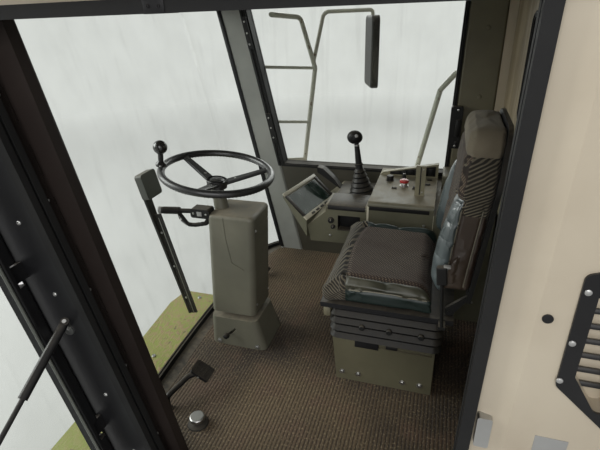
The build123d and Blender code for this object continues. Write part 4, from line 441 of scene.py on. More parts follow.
# Right front pillar. A grey-painted steel tube that leans with the windscreen. A black strip
# covers its joint with the glass and a black rubber bead its edge at the right window.
pillar_paint = coated("pillar_paint", (0.255, 0.26, 0.24), 0.30, 0.06, 300.0, 0.25)
dress(pillar_paint, "a_pillar_right")
satin_black = coated("satin_black", (0.013, 0.013, 0.014), 0.34, 0.05, 500.0, 0.2)
pillar_strips = Form()
raked_bar(pillar_strips, 0.492, 0.512, -0.7002, -0.6975, 0.206, 1.486, 0.0009)
raked_bar(pillar_strips, 0.380, 0.396, -0.7002, -0.6960, 0.702, 1.486, 0.0018, 1)
pillar_strips.make("pillar_strips", "cab", "satin_black", satin_black, rubber)

# Left front pillar and its trim. The pillar is black steel. Its inner cover is a brown grained
# moulding with a row of narrow slots, held by bright screws along its rear flange.
dress(satin_black, "a_pillar_left")
brown_trim = coated("brown_trim", (0.022, 0.0165, 0.0145), 0.46, 0.35, 900.0, 0.2)
dress(brown_trim, "a_post_trim_left")
trim_screws = Form()
for z in (0.42, 0.655, 0.885, 1.095, 1.335):
    trim_screws.screw((raked(0.352, z), 0.6618, z), RIGHT, 0.0055)
for z in (0.300, 0.515, 0.840, 1.035, 1.215):
    trim_screws.screw((raked(0.430, z), 0.7652, z), LEFT, 0.0055)
for z in (0.330, 0.585, 0.830, 1.075, 1.320):
    trim_screws.screw((raked(0.3728, z), 0.714, z), (-1, 0, 0.2), 0.0045)
trim_screws.make("trim_screws", "cab", "steel", steel)

# Left rear pillar of the doorway. A broad steel pillar in pale beige paint, its front edge
# bevelled for the door's seal. The paint is rubbed and a little dirty along the bevel.
cab_paint, wire, shader = material("cab_paint")
patches, fine = wire.noise(4.0, 6.0), wire.noise(70.0, 5.0)
grime = wire.patches(6.0, 8.0, 0.52, 0.74, (1, 1, 0.35))
paint = wire.tint(wire.ramp(patches, (0.35, 0.0), (0.65, 1.0)), (0.50, 0.43, 0.325), (0.57, 0.50, 0.385))
paint = wire.tint(grime * 0.30, paint, (0.28, 0.20, 0.13))
paint = wire.tint(wire.up_facing() * 0.5, paint, DUST)
put(wire, shader, Base_Color=paint, Roughness=grime * 0.25 + fine * 0.10 + 0.26,
    Normal=wire.bump(wire.noise(300.0, 2.0), 0.08, 0.0006))
shader.inputs["Coat Weight"].default_value = 0.25
dress(cab_paint, "b_pillar_left", "quarter_panel_left", "quarter_panel_right", "rear_wall", "roof_frame")

# Door seal. Extruded rubber pushed over the edge of the doorway, with two lips. Where it was cut
# and joined over the doorway a black clip holds the ends together.
dress(rubber, "door_seal")
seal_clip = Form()
seal_clip.box((0.115, 0.727, 1.4655), (0.155, 0.7715, 1.4668), 0.0004)
seal_clip.box((0.115, 0.7702, 1.4655), (0.155, 0.7716, 1.4885), 0.0004)
seal_clip.screw((0.125, 0.7716, 1.477), LEFT, 0.003)
seal_clip.screw((0.145, 0.7716, 1.477), LEFT, 0.003)
seal_clip.make("seal_clip", "cab", "satin_black", satin_black)


# Windscreen, right and rear windows. Toughened glass with a faint green tint under an uneven film
# of dust, each pane in a channel of black rubber with a filler bead pressed into its face.
def pane(name, tint, dirt):
    """Clear glass under a thin uneven film of dust."""
    made, wire, shader = material(name)
    film = wire.patches(7.0, 7.0, 0.35, 0.8) * dirt
    runs = wire.patches(26.0, 5.0, 0.56, 0.72, (1, 1, 0.07)) * (dirt * 0.7)
    film = film + runs
    put(wire, shader, Base_Color=wire.tint(wire.noise(3.0), (0.50, 0.46, 0.38), (0.40, 0.38, 0.32)),
        Roughness=film * 0.9 + 0.04)
    clear = wire.node("BsdfTransparent", Color=tint)
    front = 1.0 - wire.node("NewGeometry", out="Backfacing")
    share = wire.math("MINIMUM", film + wire.node("Fresnel", IOR=1.45) * front * 0.8 + 0.01, 1.0)
    both = wire.node("MixShader", i0=share, i1=clear, i2=Wire(wire.tree, shader.outputs[0]))
    wire.tree.links.new(both.socket, wire.tree.nodes["Material Output"].inputs["Surface"])
    return made


def rounded(half_wide, half_tall, radius):
    """Points round an upright rectangle with arcs for corners, whose centres the two halves give."""
    angles = [pi / 2 * k + pi / 16 * j + 0.001 for k in range(4) for j in range(9)]
    return [((half_wide if cos(a) > 0 else -half_wide) + radius * cos(a),
             (half_tall if sin(a) > 0 else -half_tall) + radius * sin(a)) for a in angles]


clear_glass = pane("clear_glass", (0.95, 0.97, 0.95), 0.05)
dress(clear_glass, "windscreen_glass", "right_window_glass", "rear_window_glass", "door_glass")
dress(rubber, "window_seals")
bead = Form()
window_ring = [(raked(0.366, 0.710), 0.710), (raked(0.366, 1.480), 1.480), (-0.3805, 1.480), (-0.3645, 0.710)]
for (x0, z0), (x1, z1) in zip(window_ring, window_ring[1:] + window_ring[:1]):
    bead.tube([(x0, -0.7005, z0), ((x0 + x1) / 2, -0.7005, (z0 + z1) / 2), (x1, -0.7005, z1)], 0.0032, sides=8)
bead.tube([(-0.5692, y, 1.26 + z) for y, z in rounded(0.190, 0.131, 0.031)], 0.0030, sides=8, closed=True)
bead.make("seal_beads", "cab", "rubber", rubber)

# Windscreen wiper. A cast motor cover on the glass, a pressed arm with two stiffening ridges in
# satin black, a steel nut on the spindle, and a rubber blade in a steel backing hung from it.
black_plastic = coated("black_plastic", (0.012, 0.012, 0.012), 0.42, 0.3, 900.0, 0.3)
wiper_grey = coated("wiper_grey", (0.065, 0.070, 0.062), 0.5, 0.2, 500.0, 0.5)
dress(wiper_grey, "wiper_motor")
dress(satin_black, "wiper_arm")
origin = Vector((raked(0.632, 0.85), 0.04, 0.85))
out = Vector((1, 0, -0.2)).normalized()
side = Vector(LEFT)
down = out.cross(side) if out.cross(side).z < 0 else side.cross(out)


def on_glass(across, below, lift):
    """A point over the windscreen, from the wiper's spindle."""
    return origin + side * across + down * below + out * lift


wiper_trim = Form()
for sign in (-1, 1):
    wiper_trim.tube([on_glass(sign * 0.013, 0.035, 0.0505), on_glass(sign * 0.0085, 0.30, 0.0505),
                     on_glass(sign * 0.0035, 0.60, 0.0505)], 0.0022, sides=8)
    wiper_trim.tube([on_glass(sign * 0.0045, 0.146, 0.024), on_glass(sign * 0.0045, 0.38, 0.024),
                     on_glass(sign * 0.0045, 0.614, 0.024)], 0.0016, 1, sides=8)
wiper_trim.turned([(0.014, 0.050), (0.014, 0.0535), (0.010, 0.054)], origin, out, 1, 24)
for share in (0.17, 0.5, 0.83):
    here = 0.13 + 0.49 * share
    wiper_trim.rod(on_glass(-0.0075, here, 0.036), on_glass(0.0075, here, 0.036), 0.005, soft=0.001, index=1, sides=16)
wiper_trim.make("wiper_trim", "wiper", "satin_black", satin_black, steel)
motor_screws = Form()
for across, below in product((-0.036, 0.036), (-0.040, 0.040)):
    motor_screws.screw(on_glass(across, below, 0.0340), out, 0.005)
motor_screws.make("motor_screws", "cab", "steel", steel)

# Latch and hinges of the right window. Black mouldings on the inside of the frame, with a lever,
# a thumb button and bright screws.
dress(black_plastic, "window_latch")
latch = Form()
latch.box((-0.404, -0.6685, 0.905), (-0.382, -0.6600, 0.985), 0.004)
latch.rod((-0.393, -0.668, 0.875), (-0.393, -0.662, 0.875), 0.009, soft=0.002)
for z in (0.862, 1.026):
    latch.screw((-0.389, -0.6682, z), LEFT, 0.005, 1)
for low_z in (0.836, 1.290):
    for part in (0.15, 0.5, 0.85):
        z = low_z + 0.145 * part
        latch.screw((raked(0.378, z), -0.6862, z), LEFT, 0.0048, 1)
latch.make("window_latch_trim", "cab", "black_plastic", black_plastic, steel)

# Lower right wall. Pressed steel, in the cab's pale paint outside and a dark olive one inside.
wall_paint, wire, shader = material("wall_paint")
inside = wire.math("GREATER_THAN", wire.along(LEFT), -0.735)
rubbed = wire.patches(5.0, 6.0, 0.40, 0.70)
outer = wire.tint(rubbed * 0.4, (0.54, 0.47, 0.355), (0.40, 0.33, 0.24))
inner = wire.tint(rubbed * 0.5, (0.034, 0.031, 0.021), (0.060, 0.052, 0.036))
put(wire, shader, Base_Color=wire.tint(inside, outer, inner), Roughness=rubbed * 0.12 + inside * 0.12 + 0.32,
    Normal=wire.bump(wire.noise(300.0, 2.0), 0.1, 0.0006))
dress(wall_paint, "right_panel")

# Right rear pillar and lower rear trim. Olive grained mouldings over the steel, held by plastic
# buttons.
olive_trim = coated("olive_trim", (0.135, 0.122, 0.078), 0.50, 0.35, 900.0, 0.25)
dress(olive_trim, "c_pillar_right", "rear_trim")
buttons = Form()
button = [(0.010, -0.0005), (0.009, 0.002), (0.005, 0.003), (0, 0.003)]
for z in (0.80, 1.08, 1.36):
    buttons.turned(button, (-0.47, -0.700, z), LEFT)
for y, z in product((-0.62, -0.31, 0.31, 0.62), (0.26, 0.62, 0.99)):
    buttons.turned(button, (-0.576, y, z), FORWARD)
buttons.make("trim_buttons", "cab", "olive_trim", olive_trim)

# Padded lining of the upper rear wall. Pale vinyl over thin foam, stretched round the rear window
# and tucked in at the edges, where it puckers and hangs in loose folds beside the seat.
lining_vinyl, wire, shader = material("lining_vinyl")
creases = wire.patches(9.0, 4.0, 0.42, 0.60, (1, 1.0, 0.22))
grain = wire.node("TexVoronoi", {"feature": "DISTANCE_TO_EDGE"}, Vector=wire.spot(), Scale=620.0)
# Across its creases the vinyl runs from darker to paler: painted shade and light of the folds.
base = wire.tint(creases, (0.235, 0.185, 0.115), (0.33, 0.265, 0.17))
base = wire.tint(wire.ramp(wire.noise(3.0, 7.0), (0.55, 0.0), (0.75, 0.5)), base, (0.12, 0.09, 0.06))
put(wire, shader, Base_Color=base, Roughness=0.60 - creases * 0.12,
    Normal=wire.bump(creases * 1.0 + grain * 0.04, 0.5, 0.004))


def taken(name, node):
    """A copy of a CAD piece under a name of its own, its loose triangles joined."""
    piece = bpy.data.objects.new(name, nodes[node].data.copy())
    scene.collection.objects.link(piece)
    joined = bmesh.new()
    joined.from_mesh(piece.data)
    bmesh.ops.remove_doubles(joined, verts=joined.verts, dist=0.00002)
    joined.to_mesh(piece.data)
    joined.free()
    return piece


def applied(piece):
    """The piece's mesh with its modifiers worked in, and none left on it."""
    bpy.context.view_layer.update()
    done = bpy.data.meshes.new_from_object(piece.evaluated_get(bpy.context.evaluated_depsgraph_get()))
    piece.modifiers.clear()
    piece.data = done


def remeshed(piece, voxel):
    """Rebuilds a closed mesh in even small faces."""
    remesh = piece.modifiers.new("remesh", "REMESH")
    remesh.mode = "VOXEL"
    remesh.voxel_size = voxel
    applied(piece)


PRESSURE = 4.0
SIMULATED_FRAMES = 20
CLOTH_VOXEL = 0.0062
MOST_SWELL = 0.014


def stuffed(piece, low, high):
    """Blows a sewn cover up as cloth, by no more than it can stretch, and keeps it inside a box."""
    remeshed(piece, CLOTH_VOXEL)
    start = [vert.co.copy() for vert in piece.data.vertices]
    cloth = piece.modifiers.new("cloth", "CLOTH")
    cloth.settings.use_pressure = True
    cloth.settings.uniform_pressure_force = PRESSURE
    cloth.settings.effector_weights.gravity = 0.0
    cloth.settings.quality = 5
    for step in range(1, SIMULATED_FRAMES + 1):
        scene.frame_set(step)
    applied(piece)
    for vert, first in zip(piece.data.vertices, start):
        moved = vert.co - first
        if moved.length > MOST_SWELL:
            vert.co = first + moved * (MOST_SWELL / moved.length)
        vert.co = Vector(max(a, min(b, c)) for a, b, c in zip(low, high, vert.co))


def divided(piece):
    """One smooth subdivision, worked in."""
    finer = piece.modifiers.new("finer", "SUBSURF")
    finer.levels = finer.render_levels = 1
    applied(piece)


def moved_points(piece, shift):
    """Moves each point of a piece by what shift gives for its place and its outward direction."""
    mesh = piece.data
    normals = [Vector(each.vector) for each in mesh.vertex_normals]
    for vert, normal in zip(mesh.vertices, normals):
        vert.co += normal * shift(vert.co, normal)
    mesh.shade_smooth()


def seam(distance, width, deep):
    """Depth of a sewn channel at a distance from its line."""
    share = abs(distance) / width
    return -deep * (1 - share) ** 2 * (1 + 2 * share) if share < 1 else 0.0


lining = taken("rear_lining_pad", "rear_lining")
for vert in lining.data.vertices:
    vert.co.x = max(-0.5898, vert.co.x - (0.004 if vert.co.x > -0.58 else 0))
remeshed(lining, 0.008)


def lining_folds(point, normal):
    """Height of the lining's fullness, with loose folds on both sides of the rear window."""
    if normal.x < 0.5:
        return 0.0
    rim = max(abs(point.y) / 0.698, abs(point.z - 1.265) / 0.223)
    full = 0.0035 * max(0.0, 1 - rim ** 8)
    loose = max(0.0, 1 - abs(point.y + 0.36) / 0.17) + max(0.0, 1 - abs(point.y - 0.42) / 0.14)
    folds = noise.noise(Vector((0, point.y * 34 + 1.5 * noise.noise(Vector((0, 3, point.z * 6))), point.z * 5)))
    return full + min(1.0, loose) * 0.0045 * folds


moved_points(lining, lining_folds)
finish(lining, lining_vinyl)
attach(lining, "cab")
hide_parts("rear_lining")

# Left quarter panel with its service opening. Pale steel sheet with a black plate round a shallow
# bay, held by dome rivets; a blank grey label plate and a plugged hole sit beside it.
dress(satin_black, "vent_plate")
label_grey = coated("label_grey", (0.30, 0.30, 0.29), 0.35, 0.05, 300.0, 0.2)
quarter = Form()
for x, z in ((-0.580, 1.039), (-0.578, 0.935), (-0.575, 0.850), (-0.683, 1.070), (-0.683, 0.910), (-0.683, 0.770)):
    quarter.turned([(0.006, -0.0003), (0.0055, 0.0016), (0.003, 0.0028), (0, 0.003)], (x, 0.770, z), LEFT)
quarter.turned([(0.009, -0.0003), (0.009, 0.002), (0.006, 0.003), (0, 0.003)], (-0.534, 0.765, 0.975), LEFT, 1)
quarter.plate([(-0.620, 0.7649, 0.630), (-0.562, 0.7649, 0.630), (-0.562, 0.7649, 0.700), (-0.620, 0.7649, 0.700)],
              (0, 0.0012, 0), 0.0004, 2)
for step in range(7):
    z = 0.82 + step * 0.032
    quarter.box((-0.664, 0.733, z), (-0.600, 0.742, z + 0.010), 0.002, 1, Matrix.Rotation(radians(25), 4, "X"))
quarter.make("quarter_fittings", "cab", "steel", steel, satin_black, label_grey)

# Roof. A moulded cap over the steel roof frame, with ribs on its crown. Dust lies on its top.
# Bright screws with sealing washers hold its upright band to the frame, and the air intake at
# its rear has a wire screen behind the slats.
roof_plastic = coated("roof_plastic", (0.56, 0.54, 0.46), 0.40, 0.12, 300.0, 0.55)
dress(roof_plastic, "roof_shell")
roof_screws = Form()
for x in (-0.62, -0.30, 0.02, 0.34, 0.66):
    for sign in (-1, 1):
        roof_screws.bolt((x, sign * 0.8398, 1.552), (0, sign, 0), 0.006)
roof_screws.make("roof_screws", "cab", "steel", steel)
intake = Form()
for step in range(21):
    y = -0.25 + step * 0.025
    intake.tube([(-0.7655, y, 1.546), (-0.7655, y, 1.590), (-0.7655, y, 1.634)], 0.0011, sides=6)
intake.make("intake_screen", "cab", "steel", steel)

# Ceiling. Grey-brown felt on a moulded tray, with a round air outlet at each corner and a small
# cabin lamp between the front two.
roof_lining, wire, shader = material("roof_lining")
fibres = wire.noise(1400.0, 3.0, (1, 1, 1))
put(wire, shader, Base_Color=wire.tint(wire.noise(5.0, 5.0), (0.215, 0.195, 0.155), (0.29, 0.265, 0.215)),
    Roughness=0.94, Normal=wire.bump(fibres, 0.7, 0.001))
shader.inputs["Sheen Weight"].default_value = 0.4
dress(roof_lining, "headliner")
outlets = Form()
for x, y in product((-0.35, 0.55), (-0.43, 0.43)):
    outlets.turned([(0.0415, 0.004), (0.0415, -0.002), (0.036, -0.0035), (0.033, 0.002), (0.033, 0.006)],
                   (x, y, 1.7005), UP)
    for vane in (-0.024, -0.012, 0, 0.012, 0.024):
        half = (0.033 ** 2 - vane ** 2) ** 0.5
        outlets.box((x + vane - 0.001, y - half, 1.6995), (x + vane + 0.001, y + half, 1.7060), 0.0006,
                    turn=Matrix.Rotation(radians(28), 4, "Y"))
outlets.box((0.28, -0.05, 1.6905), (0.36, 0.05, 1.7005), 0.004)
outlets.make("ceiling_outlets", "cab", "black_plastic", black_plastic)

# Working lamps. Lenses with upright flutes, set into the roof's front edge, each held by a black
# moulded bezel with four small bright screws.


def edging(u0, v0, u1, v1, wide):
    """The four bars of a frame, each as its two corners."""
    return [((u0, v0), (u1, v0 + wide)), ((u0, v1 - wide), (u1, v1)),
            ((u0, v0), (u0 + wide, v1)), ((u1 - wide, v0), (u1, v1))]


lamp_glass, wire, shader = material("lamp_glass")
put(wire, shader, Base_Color=wire.tint(wire.noise(9.0, 4.0), (0.62, 0.64, 0.64), (0.74, 0.75, 0.74)),
    Roughness=wire.noise(40.0, 3.0) * 0.12 + 0.06,
    Normal=wire.bump(wire.wave(LEFT, 0.008), 0.5, 0.0012))
dress(lamp_glass, "work_lamps")
lamps = Form()
for y in (-0.56, -0.33, 0.33, 0.56):
    for a, b in edging(y - 0.073, 1.551, y + 0.073, 1.635, 0.007):
        lamps.box((1.0005, *a), (1.0049, *b), 0.001)
    for dy, dz in product((-0.0695, 0.0695), (-0.0385, 0.0385)):
        lamps.screw((1.0032, y + dy, 1.593 + dz), FORWARD, 0.0022, 1, 12)
lamps.make("lamp_bezels", "cab", "satin_black", satin_black, steel)

# Door. A black tube frame with the pane bonded outside it. A grey-green edging is pressed on the
# frame's inner edge. Steel pins with black knuckles carry it, a gas strut holds it open, and the
# outer handle has a key lock in its plate.
dress(satin_black, "door_hinges", "door_frame", "door_handles", "stay_tube", "stay_rod")
dress(steel, "door_latch", "stay_pillar_stud", "stay_door_stud")
DOOR_OPEN = radians(-80)
hinge_line = Vector((RAKE, 0, 1)).normalized()
hinge_foot = Vector((0.5, 0.798, MAT_TOP))
opened = (Matrix.Translation(hinge_foot) @ Matrix.Rotation(DOOR_OPEN, 4, hinge_line)
          @ Matrix.Translation(-hinge_foot))
outward = opened.to_3x3() @ Vector(LEFT)
edge_grey = coated("edge_grey", (0.10, 0.105, 0.09), 0.38, 0.1, 400.0, 0.3)
door_trim = Form()
front_x, rear_x = 0.462, -0.424
outline = [(raked(front_x, 0.30), 0.30), (raked(front_x, 1.42), 1.42), (raked(front_x, 1.462) - 0.04, 1.464),
           (-0.43, 1.464), (-0.4485, 1.42), (-0.4262, 0.30), (-0.405, 0.256), (raked(front_x, 0.26) - 0.05, 0.256)]
door_trim.tube([opened @ Vector((x, 0.7775, z)) for x, z in outline], 0.0042, sides=10, closed=True)
grip_x = -0.446
door_trim.turned([(0.009, 0), (0.009, 0.003), (0.0055, 0.0034), (0.005, 0.0015), (0, 0.0015)],
                 opened @ Vector((grip_x, 0.822, 0.60)), outward, 1)
for z in (0.592, 0.778):
    door_trim.screw(opened @ Vector((grip_x + 0.010, 0.8219, z)), outward, 0.0035, 1)
door_trim.make("door_trim", "door", "satin_black", edge_grey, steel)

# Steering column. Two grained olive-grey mouldings over the shaft, screwed together along a curved
# seam, on a flared foot with the slot of its tilt lever. A soft boot closes it under the hub.
column_beige = coated("column_beige", (0.120, 0.116, 0.086), 0.45, 0.35, 900.0, 0.65)
dress(column_beige, "column_base", "column_shroud")
column_fittings = Form()
for z in (0.40, 0.73):
    for y in (0.0, 0.12):
        column_fittings.screw((0.2865 + (0.79 - z) * 0.067, y, z), (-1, 0, 0.07), 0.0055)
column_fittings.make("column_screws", "column", "steel", steel)
foot_fittings = Form()
foot_fittings.rod((0.428, 0.1545, 0.262), (0.432, 0.172, 0.264), 0.0055, soft=0.001)
foot_fittings.turned([(0.0055, 0), (0.011, 0.004), (0.0125, 0.012), (0.010, 0.021), (0.004, 0.024), (0, 0.0242)],
                     (0.432, 0.171, 0.264), (0.1, 1, 0.05))
for x in (0.31, 0.48):
    foot_fittings.bolt((x, 0.1598, 0.2155), (0, 1, 0.12), 0.0065, 1)
foot_fittings.make("column_foot_fittings", "cab", "black_plastic", black_plastic, steel)

# Stalk of the column. A black switch box with a ribbed grip that ends in a pale cap, and a ribbed
# conduit that loops back from the grip into the box.
dress(black_plastic, "column_stalk")
stalk = Form()
grip_start, grip_end = Vector((0.5886, 0.130, 0.790)), Vector((0.668, 0.150, 0.793))
reach = grip_end - grip_start
for step in range(9):
    place = grip_start + reach * (0.06 + step * 0.085)
    stalk.turned([(0.0128, -0.0016), (0.0146, -0.0008), (0.0146, 0.0008), (0.0128, 0.0016)], place, reach)
stalk.turned([(0.0133, -0.012), (0.0140, -0.010), (0.0140, -0.001), (0.0115, 0.0012), (0, 0.0015)], grip_end, reach, 1)
lead = [Vector(each) for each in ((0.594, 0.131, 0.786), (0.590, 0.128, 0.752), (0.570, 0.119, 0.729),
                                  (0.545, 0.118, 0.728), (0.515, 0.118, 0.7345), (0.492, 0.118, 0.741),
                                  (0.4835, 0.118, 0.756))]
RING_PITCH = 0.0045
for first, second in zip(lead, lead[1:]):
    span = (second - first).length
    for step in range(int(span / RING_PITCH)):
        place = first.lerp(second, (step + 0.5) * RING_PITCH / span)
        stalk.turned([(0.0062, -0.0012), (0.0084, -0.0006), (0.0084, 0.0006), (0.0062, 0.0012)],
                     place, second - first, 0, 16)
for x in (0.475, 0.527):
    stalk.screw((x, 0.1402, 0.788), LEFT, 0.004, 2)
stalk.box((0.492, 0.1395, 0.779), (0.512, 0.1425, 0.797), 0.0012, 1)
stalk.make("stalk_trim", "column", "black_plastic", black_plastic, label_grey, steel)

# Steering wheel. A steel core moulded over with black plastic, shiny where hands hold it. Three
# flat tapered spokes carry it, and a cap with a fine groove covers the nut on the hub.
wheel_black, wire, shader = material("wheel_black")
held = wire.patches(5.0, 4.0, 0.42, 0.62)
put(wire, shader, Base_Color=wire.tint(held, (0.012, 0.012, 0.012), (0.020, 0.019, 0.018)),
    Roughness=0.44 - held * 0.22, Normal=wire.bump(wire.noise(900.0, 2.0), 0.25, 0.0005))
shader.inputs["Coat Weight"].default_value = 0.2
dress(wheel_black, "steering_wheel", "spinner_knob")
tilt = Matrix.Translation((0.450, DRIVER_Y, 0.930)) @ Matrix.Rotation(radians(-8), 4, "Y")
up_axis = tilt.to_3x3() @ Vector(UP)
RIM_RADIUS = 0.2
SPOKES = (97, 217, 337)
KNOB_ANGLE = radians(24)


def on_wheel(radius, angle, height=0.0):
    """A point of the steering wheel, from its middle."""
    return tilt @ Vector((radius * cos(angle), radius * sin(angle), height))


wheel_trim = Form()
around = [2 * pi * k / 72 for k in range(72)]
wheel_trim.tube([on_wheel(0.1872, a) for a in around], 0.0011, 0, 6, True)
for k in range(96):
    if k % 32 > 3:
        a = 2 * pi * k / 96 + radians(SPOKES[0] - 7)
        wheel_trim.tube([on_wheel(RIM_RADIUS + out, a, h) for out, h in
                         ((-0.0065, -0.0112), (0, -0.0132), (0.0065, -0.0112))], 0.0016, 0, 6)
hub = tilt @ Vector((0, 0, -0.031))
wheel_trim.turned([(0.0385, -0.014), (0.0392, -0.012), (0.0392, -0.002), (0.0375, 0.0003)], hub, up_axis)
wheel_trim.turned([(0.0265, -0.0015), (0.0262, 0.0002), (0.0235, 0.0014), (0.012, 0.0034), (0, 0.0038)],
                  hub, up_axis)
for angle in SPOKES:
    wheel_trim.turned([(0.0045, -0.002), (0.0045, 0.0012), (0.003, 0.0020), (0, 0.0012)],
                      on_wheel(0.068, radians(angle), -0.028), up_axis, 1, 16)
wheel_trim.make("wheel_trim", "steering_wheel", "black_plastic", wheel_black, steel)
knob_trim = Form()
foot = on_wheel(RIM_RADIUS, KNOB_ANGLE)
along_rim = tilt.to_3x3() @ Vector((-sin(KNOB_ANGLE), cos(KNOB_ANGLE), 0))
knob_trim.turned([(0.0186, 0.0135), (0.0190, 0.016), (0.0190, 0.019), (0.0182, 0.0215)], foot, up_axis)
for sign in (-1, 1):
    knob_trim.screw(foot + along_rim * (0.0185 * sign) + up_axis * 0.0175, along_rim * sign, 0.0035, 1, 14)
knob_trim.turned([(0.0100, 0.060), (0.0112, 0.062), (0.0112, 0.065), (0.0100, 0.067)], foot, up_axis, 1)
knob_trim.make("knob_trim", "steering_wheel", "black_plastic", wheel_black, steel)

# Pedals and foot switch. Cast plates under ribbed rubber on bent steel bars, and a steel button in
# a rubber collar on the floor.
dress(satin_black, "pedals")
dress(steel, "foot_switch")
pedal_trim = Form()
for (x, y, z), lean in (((0.430, 0.390, 0.268), 30), ((0.500, -0.385, 0.245), 35)):
    pad = Matrix.Translation((x, y, z)) @ Matrix.Rotation(radians(-lean), 4, "Y")
    for step in range(9):
        across = -0.024 + step * 0.006
        pedal_trim.rod(pad @ Vector((-0.031, across, 0.0066)), pad @ Vector((0.031, across, 0.0066)), 0.0014,
                       soft=0.0003, sides=8)
    pedal_trim.rod(pad @ Vector((0, -0.034, -0.004)), pad @ Vector((0, 0.034, -0.004)), 0.004, soft=0.0008, index=1)
pedal_trim.make("pedal_rubbers", "cab", "rubber", rubber, steel)
collar = Form()
collar.turned([(0.036, 0.0002), (0.034, 0.004), (0.022, 0.008), (0.016, 0.015), (0.0105, 0.018), (0.0103, 0.0002)],
              (0.369, 0.553, 0.2), UP)
collar.make("switch_collar", "cab", "rubber", rubber)

# Seat base. A folded steel box in olive-beige paint, bolted to the floor, with a pressed recess
# and a black T-knob on its near side.
seat_paint = coated("seat_paint", (0.105, 0.097, 0.060), 0.45, 0.2, 400.0, 0.4)
dress(seat_paint, "seat_base")
base_fittings = Form()
base_fittings.plate([(-0.105, 0.2218, 0.396), (-0.190, 0.2218, 0.396), (-0.190, 0.2218, 0.362),
                     (-0.105, 0.2218, 0.362)], (0, 0.0012, 0), 0.0005, 1)
base_fittings.rod((-0.237, 0.2215, 0.404), (-0.237, 0.240, 0.404), 0.006, soft=0.001)
base_fittings.box((-0.257, 0.238, 0.396), (-0.217, 0.250, 0.412), 0.004)
for x in (-0.34, -0.28, -0.12, -0.06):
    base_fittings.bolt((x, 0.222, 0.235), LEFT, 0.007, 2)
for x in (-0.10, -0.30):
    base_fittings.turned([(0.006, -0.0004), (0.006, 0.002), (0, 0.003)], (x, 0.222, 0.425), LEFT, 2, 20)
base_fittings.make("seat_base_fittings", "cab", "black_plastic", black_plastic, satin_black, steel)

# Seat suspension. Black rubber bellows round the spring, with three small adjusting knobs on the
# near side and the weight adjuster's olive-capped grip at the front.
bellows_black = coated("bellows_black", (0.007, 0.007, 0.007), 0.50, 0.25, 400.0, 0.2)
dress(bellows_black, "seat_suspension")
dress(satin_black, "seat_pan")
knobs = Form()
for x in (-0.141, -0.229, -0.330):
    knobs.turned([(0.0045, -0.004), (0.0045, 0.006), (0.009, 0.007), (0.010, 0.010), (0.010, 0.016),
                  (0.008, 0.0185), (0, 0.0185)], (x, 0.283, 0.510), LEFT, 0, 20)
knobs.box((-0.032, 0.215, 0.520), (-0.005, 0.280, 0.560), 0.010, 1)
knobs.box((-0.040, -0.15, 0.5635), (0.004, 0.27, 0.5718), 0.002)
knobs.make("seat_controls", "cab", "black_plastic", black_plastic, olive_trim)


# Seat cushion. Foam on the pan under a sewn cover. The nose and its sides wear a ribbed cloth with
# pale slanted lines, the middle a fine check that has gone reddish and worn, and behind the nose
# rolls of smooth dark green vinyl run along both sides over panels of the same vinyl. The top of the
# near roll is coloured olive, a painted highlight.
def fabric(name, dark, pale, worn, direction, pitch, width=0.45, cross=None, rough=0.92):
    """Woven cloth: pale lines in a dark ground, crossed by others for a check, with thread and wear."""
    made, wire, shader = material(name)
    lines = wire.ramp(wire.wave(direction, pitch, pitch * 0.05), (width, 0.0), (width + 0.25, 1.0))
    if cross:
        lines = lines * wire.ramp(wire.wave(cross, pitch, pitch * 0.05), (0.30, 0.05), (0.60, 1.0))
    thread = wire.wave((0.6, 0.5, 0.62), 0.0017) * wire.wave((0.5, -0.7, 0.55), 0.0017)
    rubbed = wire.patches(7.0, 6.0, 0.42, 0.68)
    base = wire.tint(lines * (0.95 - rubbed * 0.35), dark, pale)
    base = wire.tint(rubbed * 0.45, base, worn)
    put(wire, shader, Base_Color=wire.tint(thread * 0.35, base, tuple(c * 0.45 for c in dark)), Roughness=rough,
        Normal=wire.bump(lines * 0.7 + thread * 0.5, 0.55, 0.0012))
    shader.inputs["Sheen Weight"].default_value = 0.04
    return made


def hide(name, colour, worn, rough, coat=0.2):
    """Smooth vinyl: a fine leather grain, stretched creases and rubbed paler patches."""
    made, wire, shader = material(name)
    cells = wire.node("TexVoronoi", {"feature": "DISTANCE_TO_EDGE"}, Vector=wire.spot(), Scale=520.0)
    rubbed = wire.patches(6.0, 7.0, 0.45, 0.72)
    put(wire, shader, Base_Color=wire.tint(rubbed * 0.55, colour, worn), Roughness=rubbed * 0.14 + rough,
        Normal=wire.bump(wire.ramp(cells, (0.0, 0.0), (0.12, 1.0)) + wire.noise(30.0, 3.0) * 1.5, 0.22, 0.0008))
    shader.inputs["Coat Weight"].default_value = coat
    return made


nose_cloth = fabric("nose_cloth", (0.014, 0.012, 0.009), (0.20, 0.17, 0.12), (0.045, 0.038, 0.027),
                    (-0.66, 0.20, 0.72), 0.0082, 0.50)
line_cloth = fabric("line_cloth", (0.014, 0.012, 0.009), (0.22, 0.19, 0.135), (0.045, 0.038, 0.027),
                    (0.42, 0.20, 0.88), 0.0085, 0.50)
check_cloth = fabric("check_cloth", (0.014, 0.010, 0.007), (0.21, 0.155, 0.105), (0.060, 0.034, 0.024),
                     (0.72, 0.68, 0.5), 0.0078, 0.42, (0.72, -0.68, 0.5))
# A paler olive copy of the green vinyl: a painted highlight for the top of the near roll.
roll_painted_highlight = hide("roll_painted_highlight", (0.024, 0.024, 0.014), (0.085, 0.078, 0.050), 0.44, 0.15)
green_hide = hide("green_hide", (0.004, 0.012, 0.010), (0.010, 0.022, 0.019), 0.42, 0.1)


def painted(piece, choose, *finishes):
    """Gives each face the finish that choose picks from its middle and its outward direction."""
    finish(piece, *finishes)
    for face in piece.data.polygons:
        face.material_index = choose(face.center, face.normal)


